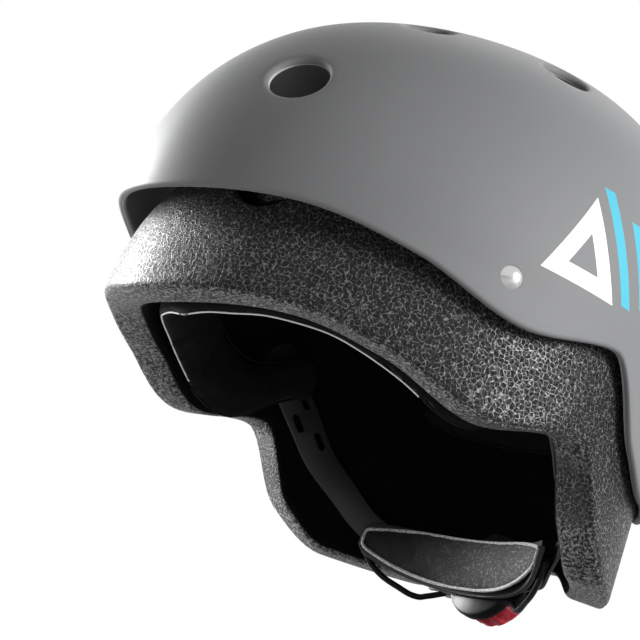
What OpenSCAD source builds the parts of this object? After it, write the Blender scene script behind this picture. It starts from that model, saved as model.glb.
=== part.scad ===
// Skate style helmet: a hard shell lifted off its foam liner, with comfort pads
// and a rear fit system whose dial draws two toothed racks together.
// Millimetres. +Z is up as worn, the brow faces -Y, the wearer's left is +X.
// The origin lies on the middle plane, under the middle of the helmet, level with its lowest point.

/* [Shell] */
// Front reach of the shell from its widest line
shell_front = 138.5; // [125:0.5:155]
// Rear reach of the shell from its widest line
shell_rear = 120; // [108:1:135]
// Half width of the shell
shell_side = 110; // [98:1:120]
// Height of the shell's crown above its widest line
shell_crown = 118.5; // [108:0.5:132]
// Fullness of the front of the dome, 2 is an ellipse
front_fullness = 2.03; // [1.7:0.01:2.4]
// Fullness of the rear of the dome
rear_fullness = 2.8; // [2.1:0.01:3.2]
// Squareness of the plan outline, 2 is an ellipse
plan_fullness = 1.85; // [1.8:0.01:2.3]
// Outward lean of the brow below the widest line, as a slope
brow_flare = 0.15; // [0:0.01:0.3]
// Wall of the shell
shell_wall = 3.5; // [2.5:0.1:5]
// How far the shell is shown lifted off the liner
shell_lift = 38; // [30:1:60]
// Height of the shell's edge over the liner's rim at the brow, negative where it hangs past
edge_front = -2.5; // [-5:0.5:3]
// The same at the sides
edge_side = -3.5; // [-5:0.5:3]
// The same at the nape
edge_rear = 0; // [-5:0.5:6]

/* [Rim line] */
// Rim height over the widest line at the middle of the brow
brow_mid = 0; // [-8:0.5:4]
// Rim height at the corners of the brow
brow_corner = 4.5; // [-6:0.5:8]
// Rim height where the temple begins to drop
temple_top = 0; // [-8:0.5:6]
// Rim height at the low point of the temple
temple_low = -10; // [-20:0.5:-4]
// Rim height at the top of the ear arch
ear_arch = 0; // [-12:0.5:2]
// Rim height half way down behind the ear
ear_back = -29.5; // [-38:0.5:-18]
// Lowest rim height of the flap behind the ear
flap_low = -42; // [-54:0.5:-34]
// Rim height at the middle of the nape
nape_mid = -24; // [-36:0.5:-16]

/* [Liner] */
// Wall of the foam liner
liner_wall = 18; // [14:0.5:24]
// Gap between the shell and the liner when the shell is seated
shell_gap = 0.8; // [0.3:0.1:1.5]
// How far the liner's brow is set back behind the shell's
brow_set_back = 4.5; // [0:0.5:10]

/* [Vents and rivets] */
// Diameter of the two brow vents
brow_vent_d = 23; // [14:0.5:28]
// Diameter of the vents round the crown
crown_vent_d = 19; // [12:0.5:24]
// Width of the bevel round each vent
vent_bevel = 3; // [1:0.5:5]
// Diameter of a rivet head
rivet_head_d = 10; // [7:0.5:13]
// Height of a rivet head
rivet_head_h = 2.6; // [1.5:0.1:4]
// Diameter of a rivet shank
rivet_shank_d = 4; // [3:0.1:5]
// Diameter of a rivet washer
washer_d = 11; // [8:0.5:14]
// Thickness of a rivet washer
washer_t = 1; // [0.6:0.1:1.4]

/* [Comfort pads] */
// Thickness of the brow pad at its crown
brow_pad_t = 9; // [6:0.5:12]
// Height of the brow pad
brow_pad_h = 38; // [26:1:46]
// Thickness of the crown pad
crown_pad_t = 8; // [5:0.5:11]
// Length of the crown pad, front to rear
crown_pad_l = 96; // [70:1:120]
// Width of the crown pad
crown_pad_w = 62; // [40:1:80]
// Thickness of the rear pad
rear_pad_t = 8; // [5:0.5:11]
// Height of the rear pad
rear_pad_h = 34; // [22:1:44]
// Thickness of a hook and loop patch
patch_t = 1.2; // [0.8:0.1:2]

/* [Fit band] */
// Thickness of the two band arms
band_t = 1.6; // [1.2:0.1:2.4]
// Width of a band arm at the temple
band_wide = 20; // [14:0.5:24]
// Width of a band arm at the dial
band_narrow = 12; // [9:0.5:15]
// Radius of a temple pin
pin_r = 2.5; // [2:0.1:3]
// Radial running clearance of the pins and the dial
run_gap = 0.05; // [0.02:0.01:0.09]
// Radius of the nape cradle's curve in plan
cradle_curve = 82; // [70:1:95]
// Half width of the nape cradle
cradle_half = 56; // [44:1:62]
// Height of the nape cradle at its middle
cradle_h = 24; // [18:0.5:30]
// Thickness of the nape cradle's plate
cradle_t = 2; // [1.4:0.1:3]
// Thickness of the nape pad at its crown
nape_pad_t = 7; // [5:0.5:10]

/* [Dial] */
// Radius of the dial knob
knob_r = 18; // [14:0.5:22]
// Depth of the dial knob
knob_depth = 9.5; // [7:0.5:13]
// Height of the dial's axis below the widest line
dial_drop = 39; // [34:0.5:44]
// Distance of the dial behind the widest line
dial_back = 81; // [78:0.5:86]
// Downward tilt of the dial's axis
dial_tilt = 5; // [0:1:10]
// Tooth count of the pinion
pinion_teeth = 8; // [7:1:10]
// Module of the pinion and the racks
tooth_module = 1.25; // [1:0.05:1.4]
// Thickness of the racks
rack_t = 2; // [1.5:0.1:2.5]
// Half length of the dial housing
housing_half = 27; // [24:0.5:32]

/* [Hidden] */
tiny = 0.01;
clear = 0.3;
round_fn = 48;

// Places of the rim stations round the head, from the brow, in degrees
rim_at = [0, 35, 55, 75, 95, 108, 122, 145, 165, 180];
flap_high = flap_low + 0.5;
nape_side = (flap_low + nape_mid) / 2 + 4;
rim_height = [brow_mid, brow_corner, temple_top, temple_low, ear_arch, ear_back,
              flap_low, flap_high, nape_side, nape_mid];
rim_last = len(rim_at) - 1;

// Grid of the shell and the liner
around = 72;
rows = 11;
step_a = 360 / around;

// Offsets inward from the shell's outer skin
liner_out = shell_wall + shell_gap;
liner_in = liner_out + liner_wall;

// The dial sets the lowest point, so the widest line lies this high
knob_gap = 0.4;
housing_half_t = 3;
knob_front = housing_half_t + knob_gap;
knob_bevel = 2;
knob_low = knob_r * cos(dial_tilt) + (knob_front + knob_depth - knob_bevel) * sin(dial_tilt);
widest_z = dial_drop + knob_low;
centre_y = (shell_front + brow_flare * -(brow_mid + edge_front) - shell_rear) / 2;

// Station helpers: a monotone cubic through the rim stations
function slope(v, i) = (v[i + 1] - v[i]) / (rim_at[i + 1] - rim_at[i]);
function knot_slope(v, i) = i == 0 || i == rim_last ? 0
    : slope(v, i - 1) * slope(v, i) <= 0 ? 0
    : 2 * slope(v, i - 1) * slope(v, i) / (slope(v, i - 1) + slope(v, i));
function span_of(p, i = 0) = i >= rim_last - 1 || p <= rim_at[i + 1] ? i : span_of(p, i + 1);
function cubic(v, p, i, w, t) =
    v[i] * (2 * t * t * t - 3 * t * t + 1) + knot_slope(v, i) * w * (t * t * t - 2 * t * t + t)
    + v[i + 1] * (3 * t * t - 2 * t * t * t) + knot_slope(v, i + 1) * w * (t * t * t - t * t);
function half_turn(p) = abs(p) <= 180 ? abs(p) : 360 - abs(p);
function rim(p) = let(q = half_turn(p), i = span_of(q), w = rim_at[i + 1] - rim_at[i])
    cubic(rim_height, q, i, w, (q - rim_at[i]) / w);
edge_mean = ((edge_front + edge_rear) / 2 + edge_side) / 2;
edge_fore = (edge_front - edge_rear) / 2;
edge_twice = ((edge_front + edge_rear) / 2 - edge_side) / 2;
function shell_edge(p) = rim(p) + edge_mean + edge_fore * cos(p) + edge_twice * cos(2 * p);

// Dome: a point at angle p round the head, height z, inward offset off
function fore(p) = (1 + cos(p)) / 2;
function fullness(p) = front_fullness * fore(p) + rear_fullness * (1 - fore(p));
function dome_share(p, z, crown) = z <= 0 ? 1
    : pow(max(0, 1 - pow(min(z / crown, 1), fullness(p))), 1 / fullness(p));
function plan_k(p) =
    pow(pow(abs(cos(p)), plan_fullness) + pow(abs(sin(p)), plan_fullness), -1 / plan_fullness);
function reach_at(forward, off) = forward <= 0 ? shell_rear
    : shell_front - (off < liner_out ? 0 : brow_set_back);
function skin(p, z, off) =
    let(r = dome_share(p, z, shell_crown - off),
        lean = brow_flare * fore(p) * max(-z, 0),
        reach = reach_at(cos(p), off))
    [((shell_side - off) * r + lean) * sin(p) * plan_k(p),
     -((reach - off) * r + lean) * cos(p) * plan_k(p), z];
function skin_out(p, z, off) =
    let(a = skin(p - 1, z, off), b = skin(p + 1, z, off),
        c = skin(p, z - 1, off), d = skin(p, z + 1, off), n = cross(b - a, d - c))
    n / norm(n);

// Half width of the dome at a place, and its height over a point in plan
function wall_x(y, z, off) =
    let(p = atan2(shell_side - off, -y), r = dome_share(p, z, shell_crown - off),
        reach = reach_at(-y, off) - off)
    (shell_side - off) * r
        * pow(1 - pow(min(1, abs(y) / (reach * r)), plan_fullness), 1 / plan_fullness);
function dome_z(x, y, off) =
    let(p = atan2(x, -y), reach = reach_at(-y, off) - off,
        e = pow(pow(abs(x) / (shell_side - off), plan_fullness)
                + pow(abs(y) / reach, plan_fullness), 1 / plan_fullness))
    (shell_crown - off) * pow(max(0, 1 - pow(min(e, 1), fullness(p))), 1 / fullness(p));

// Faces of a closed body made of rings, with a point at each end
function ring_faces(n, k) = concat(
    [for (j = [0:k - 1]) [0, 1 + j, 1 + (j + 1) % k]],
    [for (i = [0:n - 2]) for (j = [0:k - 1])
        [1 + i * k + j, 1 + (i + 1) * k + j, 1 + i * k + (j + 1) % k]],
    [for (i = [0:n - 2]) for (j = [0:k - 1])
        [1 + i * k + (j + 1) % k, 1 + (i + 1) * k + j, 1 + (i + 1) * k + (j + 1) % k]],
    [for (j = [0:k - 1]) [1 + n * k, 1 + (n - 1) * k + (j + 1) % k, 1 + (n - 1) * k + j]]);
function flat(rings) = [for (r = rings) for (p = r) p];
module ringed(first, rings, last)
    polyhedron(points = concat([first], flat(rings), [last]),
               faces = ring_faces(len(rings), len(rings[0])), convexity = 8);

// A dome shell between two offsets, with a rounded edge along the rim
function row_z(low, high, t) = low + (high - low) * sin(90 * t);
function edge_height(p, own_edge) = own_edge ? shell_edge(p) : rim(p);
function dome_ring(off, t, own_edge) = [for (j = [0:around - 1])
    let(p = j * step_a) skin(p, row_z(edge_height(p, own_edge), shell_crown - off, t), off)];
function edge_ring(off, drop, own_edge) = [for (j = [0:around - 1])
    let(p = j * step_a) skin(p, edge_height(p, own_edge) - drop, off)];
module dome(outer, inner, own_edge, edge_round)
    ringed([0, 0, shell_crown - outer],
           concat([for (i = [rows - 1:-1:0]) dome_ring(outer, i / rows, own_edge)],
                  [edge_ring(outer + edge_round, edge_round, own_edge),
                   edge_ring(inner - edge_round, edge_round, own_edge)],
                  [for (i = [0:rows - 1]) dome_ring(inner, i / rows, own_edge)]),
           [0, 0, shell_crown - inner]);

// Places the body's own coordinates, whose zero is the widest line, in the part's frame
module worn() translate([0, centre_y, widest_z]) children();
module lifted() translate([0, 0, shell_lift]) worn() children();

// Turns +Z onto the outward normal of the dome
module on_skin(p, z, off) {
    n = skin_out(p, z, off);
    translate(skin(p, z, off))
        rotate([0, acos(n[2]), atan2(n[1], n[0])])
            children();
}

// Vents: angle round the head, height over the widest line
brow_vent_at = 20.5;
brow_vent_z = 51.5;
crown_vent_drop = [17.5, 17.5, 21];
crown_vent_at = [31, 77, 140];
rear_vent_at = 158;
rear_vent_z = 42;
vent_list = concat(
    [for (s = [-1, 1]) [s * brow_vent_at, brow_vent_z, brow_vent_d]],
    [for (i = [0:2]) for (s = [-1, 1])
        [s * crown_vent_at[i], shell_crown - crown_vent_drop[i], crown_vent_d]],
    [for (s = [-1, 1]) [s * rear_vent_at, rear_vent_z, crown_vent_d]]);
module vent_cutters(deep, bevel)
    for (v = vent_list) on_skin(v[0], v[1], 0) {
        translate([0, 0, -deep]) cylinder(d = v[2], h = deep + shell_wall, $fn = round_fn);
        if (bevel > 0)
            translate([0, 0, -bevel / 2])
                cylinder(d1 = v[2], d2 = v[2] + 4 * bevel, h = 2 * bevel, $fn = round_fn);
    }

// Rivets: angle round the head, height over the widest line
rivet_front_at = 71;
rivet_front_rise = 11;
rivet_rear_at = 122;
rivet_rear_rise = 20;
rivet_list = [for (r = [[rivet_front_at, rivet_front_rise], [rivet_rear_at, rivet_rear_rise]])
    for (s = [-1, 1]) [s * r[0], temple_low + (r[0] > 90 ? flap_low - temple_low : 0) + r[1]]];
seat_depth = washer_t + 0.2;
shank_gap = 0.15;
skin_sink = 0.35;

module outer_shell() color([0.42, 0.43, 0.44]) lifted() difference() {
    dome(0, shell_wall, true, 1);
    vent_cutters(4 * shell_wall, vent_bevel / 2);
    for (r = rivet_list) on_skin(r[0], r[1], 0) {
        translate([0, 0, -2 * shell_wall])
            cylinder(d = rivet_shank_d + 2 * shank_gap, h = 4 * shell_wall, $fn = round_fn);
        translate([0, 0, -skin_sink])
            cylinder(d = rivet_head_d + 1, h = shell_wall, $fn = round_fn);
        translate([0, 0, -shell_wall - 1.5])
            cylinder(d = washer_d + 0.6, h = seat_depth + 1.5, $fn = round_fn);
    }
}

// A rivet: domed head on the skin and a shank that ends flush inside the washer
module rivets() color([0.85, 0.85, 0.87]) lifted()
    for (r = rivet_list) on_skin(r[0], r[1], 0) translate([0, 0, -skin_sink]) {
        head_ball = (rivet_head_d * rivet_head_d / 4 + rivet_head_h * rivet_head_h)
            / (2 * rivet_head_h);
        rotate_extrude($fn = round_fn) difference() {
            union() {
                intersection() {
                    translate([0, rivet_head_h - head_ball]) circle(r = head_ball, $fn = 96);
                    square([rivet_head_d, rivet_head_h]);
                }
                translate([0, -shell_wall + skin_sink])
                    square([rivet_shank_d / 2, shell_wall]);
            }
            translate([-3 * rivet_head_d, -rivet_head_d])
                square([3 * rivet_head_d, 3 * rivet_head_d]);
        }
    }

module rivet_washers() color([0.6, 0.6, 0.62]) lifted()
    for (r = rivet_list) on_skin(r[0], r[1], 0)
        translate([0, 0, -shell_wall]) difference() {
            cylinder(d = washer_d, h = washer_t, $fn = round_fn);
            translate([0, 0, -1])
                cylinder(d = rivet_shank_d + 2 * shank_gap, h = washer_t + 2, $fn = round_fn);
        }

// Temple pins: one each side, on the line that the fit band swings about
pin_y = 2;
pin_z = 24;
insert_r = 8;
insert_deep = 5;
pin_head_r = 5.5;
pin_head_t = 1.6;
pin_deep = 4;
band_out = liner_in + 2.6;
boss_gap = clear;
pin_wall_x = skin(90, pin_z, liner_in)[0];
band_x = skin(90, pin_z, band_out)[0];

module foam_liner() color([0.1, 0.1, 0.11]) worn() difference() {
    dome(liner_out, liner_in, false, 2);
    vent_cutters(3 * liner_wall, 0);
    for (s = [-1, 1]) translate([s * band_x, pin_y, pin_z]) rotate([0, s * 90, 0])
        cylinder(r = insert_r + clear, h = pin_wall_x - band_x + insert_deep + clear, $fn = round_fn);
}

// Cushion forms: rings of a section that swells and thins along the pad
pad_k = 12;
pad_n = 30;
function bulge(s, e) = pow(max(0, 1 - pow(abs(s), e)), 1 / e);
function lobe(a, e) = [sign(cos(a)) * pow(abs(cos(a)), e), sign(sin(a)) * pow(abs(sin(a)), e)];

// Brow pad: s runs -1 to 1 from temple to temple, out is its offset from the shell's skin
brow_pad_end = 104;
pad_rise = -5;
pad_tail_z = 14;
pad_climb_at = 82;
pad_climb_long = 26;
function pad_low(p) = let(t = ease((abs(p) - pad_climb_at) / pad_climb_long))
    (rim(p) + pad_rise) * (1 - t) + pad_tail_z * t;
patch_seat = 0.8;
pad_gap = patch_seat + patch_t + clear;
arm_room = band_out - liner_in + band_t + 2 * clear + pin_head_t + 0.4;
function ease(t) = let(u = min(1, max(0, t))) u * u * (3 - 2 * u);
function brow_out(s) = liner_in + pad_gap + (arm_room - pad_gap) * ease((abs(s) - 0.6) / 0.2);
function brow_point(s, a) =
    let(e = bulge(s, 8), l = lobe(a, 0.55), p = s * brow_pad_end,
        half_h = brow_pad_h / 2 * (0.35 + 0.65 * bulge(s, 3)) * max(e, 0.35),
        mid = pad_low(p) + half_h,
        thick = brow_pad_t * max(e, 0.3) * (1 - 0.12 * pow(abs(l[0]), 4)),
        deep = thick * (0.5 - 0.5 * l[1] * (1 - 0.25 * pow(abs(l[0]), 2))))
    skin(p + 0.02, mid + half_h * l[0], brow_out(s) + deep);
module brow_pad() color([0.07, 0.07, 0.08]) worn()
    ringed(brow_point(-1.012, 90) * 0.5 + brow_point(-1.012, 270) * 0.5,
           [for (i = [0:pad_n]) [for (j = [0:pad_k - 1])
               brow_point(-1 + 2 * i / pad_n, -j * 360 / pad_k)]],
           brow_point(1.012, 90) * 0.5 + brow_point(1.012, 270) * 0.5);

// Rear pad: the same form over the back of the head
rear_pad_half = 46;
rear_pad_rise = 59;
rear_pad_z = nape_mid + rear_pad_rise;
function rear_point(s, a) =
    let(e = bulge(s, 6), l = lobe(a, 0.6), p = 180 + s * rear_pad_half,
        half_h = rear_pad_h / 2 * max(e, 0.4),
        thick = rear_pad_t * max(e, 0.3) * (1 - 0.12 * pow(abs(l[0]), 4)),
        deep = thick * (0.5 - 0.5 * l[1] * (1 - 0.25 * pow(abs(l[0]), 2))))
    skin(p, rear_pad_z + half_h * l[0], liner_in + pad_gap + deep);
module rear_pad() color([0.07, 0.07, 0.08]) worn()
    ringed(rear_point(-1.01, 90) * 0.5 + rear_point(-1.01, 270) * 0.5,
           [for (i = [0:pad_n - 10]) [for (j = [0:pad_k - 1])
               rear_point(-1 + 2 * i / (pad_n - 10), -j * 360 / pad_k)]],
           rear_point(1.01, 90) * 0.5 + rear_point(1.01, 270) * 0.5);

// Crown pad: an oval cushion under the top of the liner
crown_rings = 5;
crown_k = 28;
function crown_point(a, t, under) =
    let(x = crown_pad_w / 2 * t * cos(a), y = crown_pad_l / 2 * t * sin(a) - 6,
        e = bulge(t, 4), mid = pad_gap + crown_pad_t / 2)
    [x, y, dome_z(x, y, liner_in + mid + (under ? 1 : -1) * crown_pad_t / 2 * e)];
module crown_pad() color([0.07, 0.07, 0.08]) worn()
    ringed(crown_point(0, 0, false),
           concat([for (i = [1:crown_rings]) [for (j = [0:crown_k - 1])
                      crown_point(j * 360 / crown_k, i / crown_rings, false)]],
                  [for (i = [crown_rings - 1:-1:1]) [for (j = [0:crown_k - 1])
                      crown_point(j * 360 / crown_k, i / crown_rings, true)]]),
           crown_point(0, 0, true));

// Hook and loop patches between the liner and the pads
module patch(p, z, half_a, half_z)
    ringed(skin(p, z, liner_in + patch_seat),
           concat([for (i = [1:3]) patch_ring(p, z, half_a, half_z, i / 3, patch_seat)],
                  [for (i = [3:-1:1])
                      patch_ring(p, z, half_a, half_z, i / 3, patch_seat + patch_t)]),
           skin(p, z, liner_in + patch_seat + patch_t));
function patch_ring(p, z, half_a, half_z, t, off) = [for (j = [0:15])
    let(l = lobe(j * 22.5, 0.5)) skin(p + half_a * t * l[0], z + half_z * t * l[1], liner_in + off)];
patch_half_z = 8;
module brow_patches() color([0.16, 0.16, 0.17]) worn()
    for (p = [-58, 0, 58]) patch(p, pad_low(p) + brow_pad_h / 2, p == 0 ? 12 : 9, patch_half_z);
module rear_patches() color([0.16, 0.16, 0.17]) worn()
    for (p = [155, 205]) patch(p, rear_pad_z, 10, patch_half_z + 1);
module crown_patch() color([0.16, 0.16, 0.17]) worn()
    ringed(crown_patch_point(0, 0, patch_seat),
           concat([for (i = [1:3]) [for (j = [0:19]) crown_patch_point(j * 18, i / 3, patch_seat)]],
                  [for (i = [3:-1:1]) [for (j = [0:19])
                      crown_patch_point(j * 18, i / 3, patch_seat + patch_t)]]),
           crown_patch_point(0, 0, patch_seat + patch_t));
function crown_patch_point(a, t, off) =
    let(x = crown_pad_w / 4 * t * cos(a), y = crown_pad_l / 4 * t * sin(a) - 6)
    [x, y, dome_z(x, y, liner_in + off)];

// Plastic inserts in the foam, and the pins that hold the band arms
module temple_inserts() color([0.13, 0.13, 0.14]) worn()
    for (s = [-1, 1]) translate([s * (band_x + boss_gap), pin_y, pin_z])
        rotate([0, s * 90, 0]) difference() {
            cylinder(r = insert_r, h = pin_wall_x - band_x - boss_gap + insert_deep, $fn = round_fn);
            translate([0, 0, -1]) cylinder(r = pin_r + run_gap, h = pin_deep + 2, $fn = round_fn);
        }
module temple_pins() color([0.15, 0.15, 0.16]) worn()
    for (s = [-1, 1]) translate([s * (band_x - band_t - clear - pin_head_t), pin_y, pin_z])
        rotate([0, s * 90, 0]) {
            cylinder(r = pin_head_r, h = pin_head_t, $fn = round_fn);
            translate([0, 0, pin_head_t - tiny])
                cylinder(r = pin_r, h = band_t + clear + boss_gap + pin_deep, $fn = round_fn);
        }

// Fit band: the left arm's middle line, from the temple pin to the dial housing
housing_y = dial_back - housing_half_t;
cradle_mid_y = housing_y - clear - cradle_t / 2 - cradle_h / 2 * sin(dial_tilt);
cradle_centre_y = cradle_mid_y - cradle_curve;
cradle_lift = 3;
function cradle_y(x, off) = cradle_centre_y
    + sqrt(pow(cradle_curve + off, 2) - x * x);
cradle_mid_z = -dial_drop + 1;
function cradle_z(x) = cradle_mid_z + cradle_lift * pow(abs(x) / cradle_half, 2);
arm_inner = clear + band_t / 2 + cradle_t / 2;
function arm_wall(y, z) = wall_x(y, z, band_out) - band_t / 2;
arm_corner_y = cradle_y(cradle_half, arm_inner);
arm_drop_y = arm_corner_y - 9;
arm_path = [
    [band_x - band_t / 2 - 0.3, pin_y - 5, pin_z + 6],
    [band_x - band_t / 2, pin_y, pin_z + 1],
    [arm_wall(pin_y + 10, pin_z - 9) - 0.2, pin_y + 10, pin_z - 9],
    [arm_wall(pin_y + 21, pin_z - 20) - 0.6, pin_y + 21, pin_z - 20],
    [arm_wall(pin_y + 32, pin_z - 32) - 0.6, pin_y + 32, pin_z - 32],
    [min(cradle_half + 15, arm_wall(arm_drop_y, 0)), arm_drop_y, -dial_drop + 21],
    [min(cradle_half + 7, arm_wall(arm_corner_y, 0)), arm_corner_y, -dial_drop + 12.5],
    [cradle_half - 3, cradle_y(cradle_half - 3, arm_inner) + 5, -dial_drop + 6.5],
    [cradle_half - 14, cradle_y(cradle_half - 14, arm_inner) + 6, -dial_drop + 2],
    [housing_half + 7, cradle_y(housing_half + 7, arm_inner) + 3, -dial_drop + 0.3],
    [housing_half + clear, housing_y - clear - band_t / 2, -dial_drop]];
arm_last = len(arm_path) - 1;
function arm_dir(i) = let(d = arm_path[min(i + 1, arm_last)] - arm_path[max(i - 1, 0)]) d / norm(d);
function arm_normal(i) = let(d = arm_dir(i), h = norm([d[0], d[1]])) [d[1] / h, -d[0] / h, 0];
function arm_across(i) = cross(arm_normal(i), arm_dir(i));
function arm_width(i) = band_narrow
    + (band_wide - band_narrow) * pow(max(0, 1 - i / 6), 1.2) * (i == 0 ? 0.6 : 1);
function arm_ring(i) = let(w = arm_across(i) * arm_width(i) / 2, n = arm_normal(i) * band_t / 2)
    [arm_path[i] - w - n, arm_path[i] + w - n, arm_path[i] + w + n, arm_path[i] - w + n];
slot_at = [[2.45, 3.6], [2.9, -3.2], [3.55, 3.2]];
function arm_at(t) = let(i = floor(t), f = t - i) arm_path[i] * (1 - f) + arm_path[i + 1] * f;
module arm_cut(t, side) {
    i = round(t);
    d = arm_dir(i);
    n = arm_normal(i);
    w = arm_across(i);
    multmatrix([[d[0], w[0], n[0], arm_at(t)[0] + w[0] * side],
                [d[1], w[1], n[1], arm_at(t)[1] + w[1] * side],
                [d[2], w[2], n[2], arm_at(t)[2] + w[2] * side]])
        children();
}
module slot_cut(long, wide)
    linear_extrude(height = 6 * band_t, center = true) {
        square([long - wide, wide], center = true);
        for (s = [-1, 1]) translate([s * (long - wide) / 2, 0]) circle(d = wide, $fn = 24);
    }
module band_arm() difference() {
    ringed(arm_path[0] - arm_dir(0) * 0.5, [for (i = [0:arm_last]) arm_ring(i)],
           arm_path[arm_last] - [0.02, 0, 0]);
    translate([band_x - band_t / 2, pin_y, pin_z]) rotate([0, 90, 0])
        cylinder(r = pin_r + run_gap, h = 8 * band_t, center = true, $fn = round_fn);
    for (s = slot_at) arm_cut(s[0], s[1]) slot_cut(8.5, 3.4);
}
module left_band() color([0.12, 0.12, 0.13]) worn() band_arm();
module right_band() color([0.12, 0.12, 0.13]) worn() mirror([1, 0, 0]) band_arm();

// Nape cradle: a curved plate with a pointed outline, and its pad
nape_n = 18;
pad_sag = 0.2;
function cradle_half_h(s) = cradle_h / 2 * (0.32 + 0.68 * bulge(s, 2.4));
module plate_body(half, off_in, off_out, grow)
    ringed([-half - 0.3, cradle_y(half, (off_in + off_out) / 2), cradle_z(half)],
           [for (i = [0:nape_n]) let(s = -1 + 2 * i / nape_n, x = s * half,
                   h = cradle_half_h(s) + grow)
               [[x, cradle_y(x, off_in), cradle_z(x) - h], [x, cradle_y(x, off_out), cradle_z(x) - h],
                [x, cradle_y(x, off_out), cradle_z(x) + h], [x, cradle_y(x, off_in), cradle_z(x) + h]]],
           [half + 0.3, cradle_y(half, (off_in + off_out) / 2), cradle_z(half)]);
module nape_cradle() color([0.1, 0.1, 0.11]) worn() difference() {
    plate_body(cradle_half, -cradle_t / 2, cradle_t / 2, 0);
    for (s = [-1, 1]) translate([s * (cradle_half - 22), 0, cradle_z(cradle_half - 22)])
        rotate([-90, 0, 0]) cylinder(d = 9, h = 2 * dial_back, $fn = 24);
}
module nape_pad() color([0.25, 0.25, 0.26]) worn() {
    back_off = -cradle_t / 2 - clear - pad_sag;
    ringed(nape_point(-1.01, 0, back_off) * 0.5 + nape_point(-1.01, 180, back_off) * 0.5,
           [for (i = [0:nape_n + 4]) [for (j = [0:pad_k + 1])
               nape_point(-1 + 2 * i / (nape_n + 4), j * 360 / (pad_k + 2), back_off)]],
           nape_point(1.01, 0, back_off) * 0.5 + nape_point(1.01, 180, back_off) * 0.5);
}
function nape_point(s, a, back_off) =
    let(l = lobe(a, 0.62), e = bulge(s, 4), x = s * (cradle_half + 1),
        h = (cradle_half_h(s) + 1) * max(e, 0.3),
        thick = nape_pad_t * (0.35 + 0.65 * bulge(s, 2)) * max(e, 0.4),
        deep = thick * (0.5 - 0.5 * l[1] * (1 - 0.4 * pow(abs(l[0]), 2))))
    [x, cradle_y(min(abs(x), cradle_half), back_off - deep), cradle_z(x) + h * l[0]];

// Pins that hold the arms to the cradle's corners
cradle_pin_x = cradle_half - 5;
cradle_pin_r = 2.4;
cradle_pin_l = 3.2;
module cradle_pins() color([0.15, 0.15, 0.16]) worn()
    for (s = [-1, 1])
        translate([s * cradle_pin_x, cradle_y(cradle_pin_x, cradle_t / 2 + clear), cradle_z(cradle_pin_x)])
            rotate([-90, 0, -s * asin(cradle_pin_x / cradle_curve)])
                cylinder(r = cradle_pin_r, h = cradle_pin_l, $fn = 24);

// Ribs: rods from the cradle's corners down and in to the housing
rib_r = 1.3;
rib_k = 8;
rib_path = [
    [cradle_half + 0.5, cradle_y(cradle_half, rib_r + clear + 1) - 0.5, cradle_mid_z + 2],
    [cradle_half - 1.5, cradle_y(cradle_half - 2, rib_r + clear + 1), cradle_mid_z - 4],
    [cradle_half - 7, cradle_y(cradle_half - 7, rib_r + clear + 1), cradle_mid_z - 9.5],
    [cradle_half - 16, cradle_y(cradle_half - 16, rib_r + clear + 1), cradle_mid_z - 13.5],
    [cradle_half - 25, cradle_y(cradle_half - 25, rib_r + clear + 1) + 1.5, cradle_mid_z - 15.5],
    [cradle_half - 28.5, cradle_y(cradle_half - 28, rib_r + clear + 1) + 2, cradle_mid_z - 14.3],
    [housing_half - 3.6, dial_back - 2, -dial_drop - 12.2]];
rib_last = len(rib_path) - 1;
function rib_dir(i) = let(d = rib_path[min(i + 1, rib_last)] - rib_path[max(i - 1, 0)]) d / norm(d);
function rib_side(i) = let(d = rib_dir(i), n = cross(d, [0, -1, 0])) n / norm(n);
function rib_ring(i) = let(u = rib_side(i), v = cross(rib_dir(i), u))
    [for (j = [0:rib_k - 1]) rib_path[i] + rib_r * (cos(j * 360 / rib_k) * u - sin(j * 360 / rib_k) * v)];
module rib() ringed(rib_path[0] - rib_dir(0) * 0.2, [for (i = [0:rib_last]) rib_ring(i)],
                    rib_path[rib_last] + rib_dir(rib_last) * 0.2);
module left_rib() color([0.2, 0.2, 0.21]) worn() rib();
module right_rib() color([0.2, 0.2, 0.21]) worn() mirror([1, 0, 0]) rib();

// Dial unit: its own axes have +X to the wearer's left, +Z out of the back, -Y up
module dial_frame() translate([0, dial_back, -dial_drop]) rotate([-90 - dial_tilt, 0, 0]) children();
pitch_r = pinion_teeth * tooth_module / 2;
pressure = 25;
base_r = pitch_r * cos(pressure);
tip_r = pitch_r + 0.6 * tooth_module;
root_r = pitch_r - 0.8 * tooth_module;
tooth_pitch = PI * tooth_module;
backlash = 0.3;
channel_half_t = rack_t / 2 + clear / 2;
rack_back_h = 3;
rack_root = pitch_r + 0.85 * tooth_module;
rack_tip = pitch_r - 0.55 * tooth_module;
rack_out = rack_root + rack_back_h;
channel_half_h = rack_out + 0.25;
housing_half_h = channel_half_h + 1.8;
hub_r = tip_r + 0.4;
hub_t = 1.6;
boss_r = 4;
boss_in = 1.9;
housing_corner = 6;

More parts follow.
